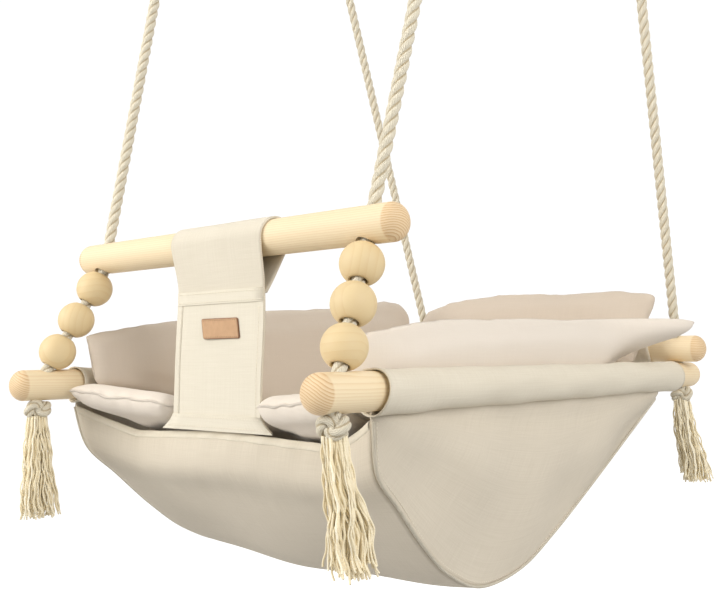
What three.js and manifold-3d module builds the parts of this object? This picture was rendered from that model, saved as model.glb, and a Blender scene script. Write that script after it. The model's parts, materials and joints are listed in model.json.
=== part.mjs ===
// A hanging baby swing: a canvas seat slung between two pine rails, closed in front by a pine bar with
// a crotch strap, and hung on four cotton ropes that meet, two and two, at a steel ring on each side.
// Units are millimetres and +Z is up. +X is the right-hand side seen from the front, and the front faces -Y.
// The origin is halfway between the two rings, on the line about which the whole seat swings.
import * as THREE from 'three';
import { mergeVertices } from 'three/addons/utils/BufferGeometryUtils.js';
import Module from 'manifold-3d';

const wasm = await Module();
wasm.setup();

// Driving dimensions. Points on the swing are given from the middle of the front bar, right-hand side.
const BAR_RADIUS = 15;
const RAIL_RADIUS = 14.5;
const ROPE_RADIUS = 5.5;
const BEAD_RADIUS = 17.2;
const BEADS_PER_SIDE = 3;
const FRONT_BAR_LENGTH = 416;
const BACK_BAR_LENGTH = 424;
const DOME_DEPTH = 12;
const FIT_GAP = 0.35;
const ROPE_PLAY = 1.5;
const BAR_PLAY = 3;

const HANG_POINT = new THREE.Vector3(230, 216, 940);
const FRONT_HOLE = new THREE.Vector3(174, 0, 0);
const BACK_HOLE = new THREE.Vector3(179, 531, -86.2);
const RAIL_FRONT = new THREE.Vector3(194, -59.5, -124);
const RAIL_FRONT_OVERHANG = 27;
const RAIL_REAR_OVERHANG = 35;

const RING_RADIUS = 23;
const RING_WIRE_RADIUS = 3;
const EYE_RADIUS = 17;
const EYE_PLAY = 1.5;
const HANG_KNOT_DROP = 36;
const HANG_KNOT_RADIUS = 17;
const ROPE_TOP_DROP = 54;

const KNOT_RADIUS = 13;
const KNOT_REACH = 31;
const FRONT_KNOT_DROP = 28.2;
const FRONT_ROPE_FOOT = 14;
const TASSEL_LENGTH = 96;
const TASSEL_RADIUS = 19;

const SLEEVE_START = 37.5;
const SLEEVE_LENGTH = 534;
const SLEEVE_WALL = 2;
const BACK_SLEEVE_LENGTH = 300;
const CLOTH = 2.4;
const SEAM_LEAN = 22 / 150;
const BAG_SAG = 8;
const FRONT_PULL = 31;
const FRONT_DROP = 24;
const STRAP_LIFT = 4;
const PIPING_RADIUS = 1.6;

const STRAP_WIDTH = 118;
const STRAP_CENTRE = 11;
const STRAP_LEAN = 0.13;
const STRAP_WALL = 2;
const STRAP_FOOT = new THREE.Vector2(6.7, -161.5);
const STRAP_SEAM_Z = -45;
const LABEL_SIZE = new THREE.Vector3(49, 1.4, 19);
const LABEL_Z = -74;
const LABEL_X = 6;

const PAD_THICKNESS = 36;
const PAD_THINNING = 0.35;
const PAD_HALF_WIDTH = 155;
const SIDE_PAD_THICKNESS = 34;
const SIDE_PAD_LEAN = 0.2;
const SIDE_PAD_LEAN_BELOW = 120;
const SIDE_PAD_CLEAR = 2.5;
const BACK_PAD_WIDTH = 316;
const BACK_PAD_THICKNESS = 20;
const BACK_PAD_FOOT = new THREE.Vector2(477, -103);
const BACK_PAD_HEAD = new THREE.Vector2(500, -24);

// Outlines seen from the side, as (y, z): the sewn edge of the side panel from the sleeve's mouth down
// under the seat and up to the back, the middle line of the seat pad, and the edges of the side pads.
const PANEL_EDGE = [[-20, -144], [-9, -184], [22, -213], [61, -248], [101, -276], [152, -294],
  [214, -288], [267, -264], [342, -220], [473, -138]];
const SEAT_PAD_LINE = [[-20, -136], [60, -161], [150, -190], [250, -207], [325, -195], [392, -155]];
const SIDE_PAD_FOOT = [[446, -92], [400, -126], [330, -170], [250, -183], [150, -167], [60, -141],
  [-8, -119]];
const SIDE_PAD_HEADS = {
  left: [[-6, -80], [82, -60], [207, -44], [299, -35], [427, -22], [452, -46]],
  right: [[-6, -82], [82, -68], [207, -61], [299, -60], [427, -57], [452, -66]],
};

const FINISHES = {
  pine: { color: 0xe3bf85, roughness: 0.55, metalness: 0 },
  bead: { color: 0xe0b784, roughness: 0.5, metalness: 0 },
  rope: { color: 0xdcd0b0, roughness: 0.95, metalness: 0 },
  canvas: { color: 0xd9cbb5, roughness: 0.95, metalness: 0 },
  strap: { color: 0xe6dccb, roughness: 0.95, metalness: 0 },
  padPale: { color: 0xe6d6c8, roughness: 0.95, metalness: 0 },
  padGreige: { color: 0xcdbdae, roughness: 0.95, metalness: 0 },
  leather: { color: 0xb98a66, roughness: 0.6, metalness: 0 },
  steel: { color: 0xb9bcc0, roughness: 0.3, metalness: 1 },
};

const Y_AXIS = new THREE.Vector3(0, 1, 0);
const SIDES = [['left', -1], ['right', 1]];

const model = new THREE.Group();
const swing = new THREE.Group();
swing.position.set(0, -HANG_POINT.y, -HANG_POINT.z);
model.add(swing);

// ---- helpers -------------------------------------------------------------------------------------

function addMesh(parent, name, geometry, finish) {
  const mesh = new THREE.Mesh(geometry, new THREE.MeshStandardMaterial(FINISHES[finish]));
  mesh.name = name;
  parent.add(mesh);
  return mesh;
}

function toSolid(geometry) {
  const bare = geometry.clone();
  bare.deleteAttribute('normal');
  bare.deleteAttribute('uv');
  const merged = mergeVertices(bare, 1e-4);
  return new wasm.Manifold(new wasm.Mesh({
    numProp: 3,
    vertProperties: new Float32Array(merged.attributes.position.array),
    triVerts: new Uint32Array(merged.index.array),
  }));
}

function toGeometry(solid) {
  const mesh = solid.getMesh();
  const geometry = new THREE.BufferGeometry();
  geometry.setAttribute('position', new THREE.BufferAttribute(mesh.vertProperties, 3));
  geometry.setIndex(new THREE.BufferAttribute(mesh.triVerts, 1));
  geometry.computeVertexNormals();
  return geometry;
}

function onSide(point, sign) {
  return new THREE.Vector3(point.x * sign, point.y, point.z);
}

function towards(from, to) {
  return to.clone().sub(from).normalize();
}

// Stands a mesh whose own axis is Y at a point, with that axis along a direction.
function aim(mesh, point, direction) {
  mesh.position.copy(point);
  mesh.quaternion.setFromUnitVectors(Y_AXIS, direction);
  mesh.updateMatrix();
  return mesh;
}

// Drills a round hole through a placed mesh, along a line given on the swing.
function drill(mesh, point, direction, radius) {
  const bit = new THREE.CylinderGeometry(radius, radius, 6 * BAR_RADIUS, 14);
  const place = aim(new THREE.Object3D(), point, direction).matrix;
  bit.applyMatrix4(mesh.matrix.clone().invert().multiply(place));
  mesh.geometry = toGeometry(toSolid(mesh.geometry).subtract(toSolid(bit)));
}

// Moves every vertex of a geometry, and turns its faces round when the move mirrors it.
function reshape(geometry, move, mirrored = false) {
  const position = geometry.attributes.position;
  const point = new THREE.Vector3();
  for (let i = 0; i < position.count; i += 1) {
    move(point.fromBufferAttribute(position, i));
    position.setXYZ(i, point.x, point.y, point.z);
  }
  const merged = mergeVertices(stripped(geometry), 1e-4);
  if (mirrored) {
    merged.index.array.reverse();
  }
  merged.computeVertexNormals();
  return merged;
}

function stripped(geometry) {
  const bare = geometry.clone();
  bare.deleteAttribute('normal');
  bare.deleteAttribute('uv');
  return bare;
}

// A closed sheet: surface(u, v) and the same surface moved along its normal by the cloth's thickness.
function sheet(surface, stepsU, stepsV, thickness) {
  const vertices = [];
  const faces = [];
  const row = stepsV + 1;
  const layer = (stepsU + 1) * row;
  const nudge = 1e-3;
  const offsets = [0, thickness];
  for (const offset of offsets) {
    for (let i = 0; i <= stepsU; i += 1) {
      for (let j = 0; j <= stepsV; j += 1) {
        const u = i / stepsU;
        const v = j / stepsV;
        const alongU = surface(Math.min(u + nudge, 1), v).sub(surface(Math.max(u - nudge, 0), v));
        const alongV = surface(u, Math.min(v + nudge, 1)).sub(surface(u, Math.max(v - nudge, 0)));
        const normal = alongU.cross(alongV).normalize();
        vertices.push(...surface(u, v).addScaledVector(normal, offset).toArray());
      }
    }
  }
  const quad = (a, b, c, d) => faces.push(a, b, c, a, c, d);
  for (let i = 0; i < stepsU; i += 1) {
    for (let j = 0; j < stepsV; j += 1) {
      const a = i * row + j;
      quad(a, a + 1, a + row + 1, a + row);
      quad(layer + a, layer + a + row, layer + a + row + 1, layer + a + 1);
    }
  }
  for (let i = 0; i < stepsU; i += 1) {
    const a = i * row;
    const b = a + stepsV;
    quad(a, a + row, layer + a + row, layer + a);
    quad(b + row, b, layer + b, layer + b + row);
  }
  for (let j = 0; j < stepsV; j += 1) {
    const b = stepsU * row + j;
    quad(j + 1, j, layer + j, layer + j + 1);
    quad(b, b + 1, layer + b + 1, layer + b);
  }
  const geometry = new THREE.BufferGeometry();
  geometry.setAttribute('position', new THREE.Float32BufferAttribute(vertices, 3));
  geometry.setIndex(faces);
  geometry.computeVertexNormals();
  return geometry;
}

function spline2(points) {
  return new THREE.SplineCurve(points.map(([y, z]) => new THREE.Vector2(y, z)));
}

function interpolate(points, y) {
  for (let i = 1; i < points.length; i += 1) {
    const [y0, z0] = points[i - 1];
    const [y1, z1] = points[i];
    if (y <= y1) {
      return z0 + (z1 - z0) * (y - y0) / (y1 - y0);
    }
  }
  return points.at(-1)[1];
}

// ---- pine rods -----------------------------------------------------------------------------------

function rodGeometry(length, radius) {
  const profile = [];
  const steps = 4;
  for (let i = 0; i <= steps; i += 1) {
    const angle = (i / steps) * Math.PI / 2;
    const end = length / 2 - DOME_DEPTH * (1 - Math.cos(angle));
    profile.push(new THREE.Vector2(radius * Math.sin(angle), end));
  }
  const lower = profile.slice().reverse().map((p) => new THREE.Vector2(p.x, -p.y));
  const whole = lower.reverse().concat(profile.reverse());
  whole[0].x = 0;
  whole.at(-1).x = 0;
  return new THREE.LatheGeometry(whole, 20);
}

// The back bar rests on the rails, and the rear ropes go straight on through both.
const upperFrontDirection = towards(FRONT_HOLE, HANG_POINT);
const rearDirection = towards(BACK_HOLE, HANG_POINT);
const RAIL_REAR = BACK_HOLE.clone()
  .addScaledVector(rearDirection, -(BAR_RADIUS + RAIL_RADIUS + FIT_GAP) / rearDirection.z);
const railDirection = towards(RAIL_FRONT, RAIL_REAR);
const kink = FRONT_HOLE.clone().addScaledVector(upperFrontDirection, -BAR_RADIUS - FIT_GAP);
const chainDirection = towards(kink, RAIL_FRONT);

function frontBar() {
  const bar = addMesh(swing, 'front_bar', rodGeometry(FRONT_BAR_LENGTH, BAR_RADIUS), 'pine');
  aim(bar, new THREE.Vector3(), new THREE.Vector3(1, 0, 0));
  for (const [, sign] of SIDES) {
    drill(bar, onSide(FRONT_HOLE, sign), onSide(upperFrontDirection, sign), ROPE_RADIUS + BAR_PLAY);
  }
}

function backBar() {
  const bar = addMesh(swing, 'back_bar', rodGeometry(BACK_BAR_LENGTH, BAR_RADIUS), 'pine');
  aim(bar, new THREE.Vector3(0, BACK_HOLE.y, BACK_HOLE.z), new THREE.Vector3(1, 0, 0));
  for (const [, sign] of SIDES) {
    drill(bar, onSide(BACK_HOLE, sign), onSide(rearDirection, sign), ROPE_RADIUS + FIT_GAP);
  }
}

function sideRail(name, sign) {
  const span = RAIL_FRONT.distanceTo(RAIL_REAR);
  const length = span + RAIL_FRONT_OVERHANG + RAIL_REAR_OVERHANG;
  const middle = RAIL_FRONT.clone().addScaledVector(railDirection, length / 2 - RAIL_FRONT_OVERHANG);
  const rail = addMesh(swing, `side_rail_${name}`, rodGeometry(length, RAIL_RADIUS), 'pine');
  aim(rail, onSide(middle, sign), onSide(railDirection, sign));
  drill(rail, onSide(RAIL_FRONT, sign), onSide(chainDirection, sign), ROPE_RADIUS + FIT_GAP);
  drill(rail, onSide(RAIL_REAR, sign), onSide(rearDirection, sign), ROPE_RADIUS + FIT_GAP);
}

// ---- wooden beads --------------------------------------------------------------------------------

function beadGeometry() {
  const bore = ROPE_RADIUS + ROPE_PLAY;
  const reach = Math.acos(bore / BEAD_RADIUS);
  const profile = [];
  const steps = 8;
  for (let i = 0; i <= steps; i += 1) {
    const angle = -reach + (2 * reach * i) / steps;
    profile.push(new THREE.Vector2(BEAD_RADIUS * Math.cos(angle), BEAD_RADIUS * Math.sin(angle)));
  }
  profile.push(profile[0].clone());
  return new THREE.LatheGeometry(profile, 14);
}

// The beads fill the rope between the bar above and the rail below, which it meets at a slant.
function beads(name, sign) {
  const slant = Math.sqrt(1 - chainDirection.dot(railDirection) ** 2);
  const first = BEAD_RADIUS + FIT_GAP + 0.1;
  const last = kink.distanceTo(RAIL_FRONT) - (BEAD_RADIUS + RAIL_RADIUS + FIT_GAP) / slant;
  for (let i = 0; i < BEADS_PER_SIDE; i += 1) {
    const reach = first + (last - first) * i / (BEADS_PER_SIDE - 1);
    const centre = kink.clone().addScaledVector(chainDirection, reach);
    const bead = addMesh(swing, `bead_${name}_${i + 1}`, beadGeometry(), 'bead');
    aim(bead, onSide(centre, sign), onSide(chainDirection, sign));
  }
}

// ---- ropes, knots, tassels and rings -------------------------------------------------------------

function ropeGeometry(path, steps) {
  const section = new THREE.Shape();
  section.absarc(0, 0, ROPE_RADIUS, 0, 2 * Math.PI);
  return new THREE.ExtrudeGeometry(section, {
    curveSegments: 10,
    steps,
    bevelEnabled: false,
    extrudePath: path,
  });
}

// The front knots hang straight down under their rail; the rear ones stay in line with their rope.
const frontKnot = RAIL_FRONT.clone().add(new THREE.Vector3(0, 0, -FRONT_KNOT_DROP));
const rearKnot = RAIL_REAR.clone().addScaledVector(rearDirection, -KNOT_REACH);

function frontRope(name, sign) {
  const top = pointBelowHang(upperFrontDirection);
  const foot = RAIL_FRONT.clone().addScaledVector(chainDirection, FRONT_ROPE_FOOT);
  const bend = 5;
  const entering = kink.clone().addScaledVector(upperFrontDirection, bend);
  const leaving = kink.clone().addScaledVector(chainDirection, bend);
  const path = new THREE.CurvePath();
  path.add(new THREE.LineCurve3(onSide(top, sign), onSide(entering, sign)));
  path.add(new THREE.QuadraticBezierCurve3(onSide(entering, sign), onSide(kink, sign), onSide(leaving, sign)));
  path.add(new THREE.LineCurve3(onSide(leaving, sign), onSide(foot, sign)));
  addMesh(swing, `front_rope_${name}`, sweep(path), 'rope');
}

// A tube whose rings stand at the ends of the straight runs and closely through the bend.
function sweep(path) {
  const [upper, turn, lower] = path.curves;
  const stations = [upper.v1, ...turn.getPoints(6), lower.v2];
  const sides = 10;
  const rings = stations.map((centre, i) => {
    const before = stations[Math.max(i - 1, 0)];
    const after = stations[Math.min(i + 1, stations.length - 1)];
    const along = towards(before, after);
    const across = new THREE.Vector3(1, 0, 0).addScaledVector(along, -along.x).normalize();
    const third = along.clone().cross(across);
    return Array.from({ length: sides }, (_, k) => {
      const angle = (2 * Math.PI * k) / sides;
      return centre.clone()
        .addScaledVector(across, ROPE_RADIUS * Math.cos(angle))
        .addScaledVector(third, ROPE_RADIUS * Math.sin(angle));
    });
  });
  const vertices = rings.flat().flatMap((p) => p.toArray());
  const faces = [];
  for (let i = 0; i < rings.length - 1; i += 1) {
    for (let k = 0; k < sides; k += 1) {
      const a = i * sides + k;
      const b = i * sides + (k + 1) % sides;
      faces.push(a, b, b + sides, a, b + sides, a + sides);
    }
  }
  const last = (rings.length - 1) * sides;
  for (let k = 1; k < sides - 1; k += 1) {
    faces.push(0, k + 1, k, last, last + k, last + k + 1);
  }
  const geometry = new THREE.BufferGeometry();
  geometry.setAttribute('position', new THREE.Float32BufferAttribute(vertices, 3));
  geometry.setIndex(faces);
  geometry.computeVertexNormals();
  return geometry;
}

function rearRope(name, sign) {
  const foot = rearKnot.clone().addScaledVector(rearDirection, KNOT_RADIUS + FIT_GAP);
  const line = new THREE.LineCurve3(onSide(pointBelowHang(rearDirection), sign), onSide(foot, sign));
  addMesh(swing, `rear_rope_${name}`, ropeGeometry(line, 4), 'rope');
}

function pointBelowHang(direction) {
  return HANG_POINT.clone().addScaledVector(direction, -ROPE_TOP_DROP / direction.z);
}

function lowerKnot(name, sign, end, centre) {
  const knot = addMesh(swing, `${end}_knot_${name}`, new THREE.SphereGeometry(KNOT_RADIUS, 12, 8), 'rope');
  knot.position.copy(onSide(centre, sign));
}

// The frayed tail of a rope: it hangs straight down from the knot and swings about the knot's middle.
function tassel(name, sign, end, centre) {
  const top = -KNOT_RADIUS - FIT_GAP;
  const bottom = top - TASSEL_LENGTH;
  const profile = [[0, bottom], [TASSEL_RADIUS * 0.92, bottom + 3], [TASSEL_RADIUS, bottom + 14],
    [TASSEL_RADIUS * 0.8, bottom + 50], [9, top - 16], [7.5, top], [0, top]];
  const shape = profile.map(([r, y]) => new THREE.Vector2(r, y));
  const mesh = addMesh(swing, `${end}_tassel_${name}`, new THREE.LatheGeometry(shape, 12), 'rope');
  mesh.position.copy(onSide(centre, sign));
  mesh.rotation.x = Math.PI / 2;
}

// The two ropes of a side are tied together and leave the knot as one eye, which hangs on the ring's wire.
function hangKnot(name, sign) {
  const knot = new THREE.SphereGeometry(HANG_KNOT_RADIUS, 14, 10);
  knot.translate(0, 0, -HANG_KNOT_DROP);
  const eye = new THREE.TorusGeometry(EYE_RADIUS, ROPE_RADIUS, 8, 20);
  eye.rotateY(Math.PI / 2);
  eye.translate(0, 0, RING_WIRE_RADIUS + ROPE_RADIUS + EYE_PLAY - EYE_RADIUS);
  const solid = toSolid(knot).add(toSolid(eye));
  const mesh = addMesh(swing, `hang_knot_${name}`, toGeometry(solid), 'rope');
  mesh.position.copy(onSide(HANG_POINT, sign));
}

function hangRing(name, sign) {
  const ring = new THREE.TorusGeometry(RING_RADIUS, RING_WIRE_RADIUS, 8, 28);
  ring.rotateX(Math.PI / 2);
  const mesh = addMesh(model, `hang_ring_${name}`, ring, 'steel');
  mesh.position.set(HANG_POINT.x * sign, 0, RING_RADIUS);
}

// ---- canvas seat ---------------------------------------------------------------------------------

function railX(y) {
  return RAIL_FRONT.x + railDirection.x * (y - RAIL_FRONT.y) / railDirection.y;
}

function panelX(y, z) {
  const rise = Math.max(-144 - z, 0);
  return railX(y) - SEAM_LEAN * rise;
}

function railSleeve(name, sign) {
  const inner = RAIL_RADIUS + FIT_GAP;
  const outer = inner + SLEEVE_WALL;
  const profile = [[inner, 0], [outer + 0.9, 0], [outer + 0.5, SLEEVE_LENGTH * 0.3],
    [outer, SLEEVE_LENGTH], [inner, SLEEVE_LENGTH], [inner, 0]];
  const tube = new THREE.LatheGeometry(profile.map(([r, y]) => new THREE.Vector2(r, y)), 20);
  const start = RAIL_FRONT.clone().addScaledVector(railDirection, SLEEVE_START);
  aim(addMesh(swing, `rail_sleeve_${name}`, tube, 'canvas'), onSide(start, sign), onSide(railDirection, sign));
}

function backSleeve() {
  const inner = BAR_RADIUS + FIT_GAP;
  const outer = inner + SLEEVE_WALL;
  const half = BACK_SLEEVE_LENGTH / 2;
  const profile = [[inner, -half], [outer, -half], [outer, half], [inner, half], [inner, -half]];
  const tube = new THREE.LatheGeometry(profile.map(([r, y]) => new THREE.Vector2(r, y)), 20);
  const centre = new THREE.Vector3(0, BACK_HOLE.y, BACK_HOLE.z);
  aim(addMesh(swing, 'back_sleeve', tube, 'canvas'), centre, new THREE.Vector3(1, 0, 0));
}

function sidePanel(name, sign) {
  const outline = new THREE.Shape(spline2(PANEL_EDGE).getPoints(28));
  const slab = new THREE.ExtrudeGeometry(outline, { depth: CLOTH, bevelEnabled: false });
  const panel = reshape(slab, (p) => p.set(sign * (panelX(p.x, p.y) + p.z - CLOTH / 2), p.x, p.y), sign < 0);
  addMesh(swing, `side_panel_${name}`, panel, 'canvas');
}

function seamPiping(name, sign) {
  const offset = CLOTH / 2 + PIPING_RADIUS + FIT_GAP;
  const curve = spline2(PANEL_EDGE);
  const points = curve.getPoints(20).slice(1, -1).map((p) => new THREE.Vector3(
    sign * (panelX(p.x, p.y) + offset), p.x, p.y + PIPING_RADIUS));
  const section = new THREE.Shape();
  section.absarc(0, 0, PIPING_RADIUS, 0, 2 * Math.PI);
  const cord = new THREE.ExtrudeGeometry(section, {
    curveSegments: 3,
    steps: 26,
    bevelEnabled: false,
    extrudePath: new THREE.CatmullRomCurve3(points),
  });
  addMesh(swing, `seam_piping_${name}`, cord, 'strap');
}

// One length of canvas runs from the front hem, under the child and up to the sleeve on the back bar.
function mainPanel() {
  const edge = spline2([...PANEL_EDGE, [498, -124], [515, -109]]);
  const sleeveGap = 6;
  const surface = (u, v) => {
    const p = edge.getPoint(u);
    const across = 2 * v - 1;
    const bow = 1 - across * across;
    const front = Math.max(0, 1 - u / 0.3) ** 2;
    const slack = Math.min(1, 1.8 * bow);
    const sag = Math.sin(Math.PI * Math.min(u / 0.85, 1));
    const behindRails = THREE.MathUtils.smoothstep(p.y, -185, -140) * (p.x > 300 ? 1 : 0);
    const edgeX = panelX(p.x, p.y) - CLOTH / 2 - FIT_GAP;
    const narrowX = railX(p.x) - RAIL_RADIUS - SLEEVE_WALL - sleeveGap;
    const halfWidth = edgeX + (narrowX - edgeX) * behindRails;
    return new THREE.Vector3(
      halfWidth * across,
      p.x + FRONT_PULL * slack * front,
      p.y - BAG_SAG * bow * sag - (FRONT_DROP * slack - STRAP_LIFT * bow ** 4) * front,
    );
  };
  addMesh(swing, 'main_panel', sheet(surface, 26, 8, CLOTH), 'canvas');
}

// ---- crotch strap and its label ------------------------------------------------------------------

const STRAP_OUTER = BAR_RADIUS + FIT_GAP + STRAP_WALL;
const STRAP_INNER = BAR_RADIUS + FIT_GAP;

// The angle at which a line from a point touches a circle round the bar, on its far side from -Y.
function tangentAngle(point, radius) {
  return Math.atan2(point.y, point.x) + Math.acos(radius / point.length());
}

// The line of the front ply's outer face, from the foot up to where it touches the loop.
function frontPly() {
  const touch = Math.atan2(STRAP_FOOT.y, STRAP_FOOT.x) - Math.acos(STRAP_OUTER / STRAP_FOOT.length());
  const top = new THREE.Vector2(Math.cos(touch), Math.sin(touch)).multiplyScalar(STRAP_OUTER);
  return { touch, top, along: top.clone().sub(STRAP_FOOT).normalize() };
}

function faceY(z, depth) {
  const { along } = frontPly();
  const shift = (z - STRAP_FOOT.y) / along.y;
  return STRAP_FOOT.x + along.x * shift + depth / along.y;
}

// Points along an arc round the bar, clockwise over its top.
function arcOver(radius, from, to) {
  const steps = 18;
  const sweepAngle = to - from - 2 * Math.PI;
  return Array.from({ length: steps + 1 }, (_, i) => {
    const angle = from + (sweepAngle * i) / steps;
    return new THREE.Vector2(radius * Math.cos(angle), radius * Math.sin(angle));
  });
}

function crotchStrap() {
  const { touch } = frontPly();
  const joint = new THREE.Vector2(faceY(STRAP_SEAM_Z - STRAP_WALL, STRAP_WALL), STRAP_SEAM_Z - STRAP_WALL);
  const crease = new THREE.Vector2(faceY(STRAP_SEAM_Z, STRAP_WALL), STRAP_SEAM_Z);
  const heel = new THREE.Vector2(faceY(STRAP_FOOT.y, STRAP_WALL), STRAP_FOOT.y);
  const over = arcOver(STRAP_OUTER, touch, tangentAngle(joint, STRAP_OUTER));
  const outer = new THREE.Shape([STRAP_FOOT.clone(), ...over, joint, heel]);
  const loop = [crease, ...arcOver(STRAP_INNER, touch, tangentAngle(crease, STRAP_INNER))];
  outer.holes.push(new THREE.Path(loop.reverse()));
  const slab = new THREE.ExtrudeGeometry(outer, { depth: STRAP_WIDTH, bevelEnabled: false });
  const left = STRAP_CENTRE - STRAP_WIDTH / 2;
  const strap = reshape(slab, (p) => p.set(left + p.z + STRAP_LEAN * p.y, p.x, p.y));
  addMesh(swing, 'crotch_strap', strap, 'strap');
}

function leatherLabel() {
  const { along } = frontPly();
  const plate = new THREE.BoxGeometry(LABEL_SIZE.x, LABEL_SIZE.y, LABEL_SIZE.z);
  const label = addMesh(swing, 'leather_label', plate, 'leather');
  label.rotation.x = Math.atan2(-along.x, along.y);
  label.position.set(LABEL_X, faceY(LABEL_Z, -LABEL_SIZE.y / 2 - FIT_GAP), LABEL_Z);
}

// ---- loose pads ----------------------------------------------------------------------------------

function padSlab(outline, thickness, bevel) {
  return new THREE.ExtrudeGeometry(outline, {
    depth: thickness - 2 * bevel,
    curveSegments: 4,
    bevelEnabled: true,
    bevelSize: bevel,
    bevelThickness: bevel,
    bevelOffset: -bevel,
    bevelSegments: 2,
  });
}

// The seat pad dips with the seat, thins towards the back, and stands back where the strap passes.
function seatPad() {
  const line = spline2(SEAT_PAD_LINE);
  const half = PAD_THICKNESS / 2;
  const steps = 16;
  const above = [];
  const below = [];
  for (let i = 0; i <= steps; i += 1) {
    const p = line.getPoint(i / steps);
    const t = line.getTangent(i / steps);
    const fromEnd = Math.min(1, 6 * i / steps, 6 * (steps - i) / steps);
    const taper = half * (0.45 + 0.55 * Math.sin(Math.PI * fromEnd / 2)) * (1 - PAD_THINNING * i / steps);
    above.push(new THREE.Vector2(p.x - t.y * taper, p.y + t.x * taper));
    below.push(new THREE.Vector2(p.x + t.y * taper, p.y - t.x * taper));
  }
  const outline = new THREE.Shape([...below, ...above.reverse()]);
  const bevel = 5;
  const slab = padSlab(outline, 2 * PAD_HALF_WIDTH, bevel);
  const pad = reshape(slab, (p) => p.set(p.z - PAD_HALF_WIDTH + bevel, p.x, p.y));
  const notch = new THREE.BoxGeometry(156, 80, 90);
  notch.translate(0, 20 - 40, -145);
  addMesh(swing, 'seat_pad', toGeometry(toSolid(pad).subtract(toSolid(notch))), 'padPale');
}

function sidePad(name, sign, finish) {
  const head = spline2(SIDE_PAD_HEADS[name]).getPoints(9);
  const foot = spline2(SIDE_PAD_FOOT).getPoints(10);
  const outline = new THREE.Shape([...head, ...foot].reverse());
  const bevel = 7;
  const slab = padSlab(outline, SIDE_PAD_THICKNESS, bevel);
  const inset = RAIL_RADIUS + SLEEVE_WALL + SIDE_PAD_CLEAR + SIDE_PAD_THICKNESS / 2;
  const middleX = (y, z) => railX(y) - inset + SIDE_PAD_LEAN * (z + SIDE_PAD_LEAN_BELOW);
  const pad = reshape(slab, (p) => p.set(
    sign * (middleX(p.x, p.y) + p.z - SIDE_PAD_THICKNESS / 2 + bevel), p.x, p.y), sign < 0);
  addMesh(swing, `side_pad_${name}`, pad, finish);
}

function backPad() {
  const height = BACK_PAD_FOOT.distanceTo(BACK_PAD_HEAD);
  const corner = 22;
  const [w, h] = [BACK_PAD_WIDTH / 2, height / 2];
  const outline = new THREE.Shape();
  outline.moveTo(-w + corner, -h);
  outline.lineTo(w - corner, -h);
  outline.absarc(w - corner, -h + corner, corner, -Math.PI / 2, 0);
  outline.absarc(w - corner, h - corner, corner, 0, Math.PI / 2);
  outline.absarc(-w + corner, h - corner, corner, Math.PI / 2, Math.PI);
  outline.absarc(-w + corner, -h + corner, corner, Math.PI, 1.5 * Math.PI);
  const bevel = 7;
  const slab = padSlab(outline, BACK_PAD_THICKNESS, bevel);
  slab.translate(0, 0, bevel - BACK_PAD_THICKNESS / 2);
  const pad = addMesh(swing, 'back_pad', slab, 'padGreige');
  const lean = Math.atan2(BACK_PAD_HEAD.x - BACK_PAD_FOOT.x, BACK_PAD_HEAD.y - BACK_PAD_FOOT.y);
  pad.rotation.x = Math.PI / 2 - lean;
  const middle = BACK_PAD_FOOT.clone().add(BACK_PAD_HEAD).multiplyScalar(0.5);
  pad.position.set(0, middle.x, middle.y);
}

// ---- assembly ------------------------------------------------------------------------------------

frontBar();
backBar();
backSleeve();
mainPanel();
crotchStrap();
leatherLabel();
seatPad();
backPad();
sidePad('left', -1, 'padGreige');
sidePad('right', 1, 'padPale');
for (const [name, sign] of SIDES) {
  sideRail(name, sign);
  beads(name, sign);
  frontRope(name, sign);
  rearRope(name, sign);
  lowerKnot(name, sign, 'front', frontKnot);
  lowerKnot(name, sign, 'rear', rearKnot);
  tassel(name, sign, 'front', frontKnot);
  tassel(name, sign, 'rear', rearKnot);
  hangKnot(name, sign);
  hangRing(name, sign);
  railSleeve(name, sign);
  sidePanel(name, sign);
  seamPiping(name, sign);
}

export default model;
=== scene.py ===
"""A hanging baby swing: a canvas seat slung between two pine rails and closed in front by a pine bar with
a crotch strap. Four twisted cotton ropes carry it, two and two, from a steel ring on each side.
Everything is in metres in the frame's own space, with +Z up and the open front of the seat facing -Y.
"""

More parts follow.
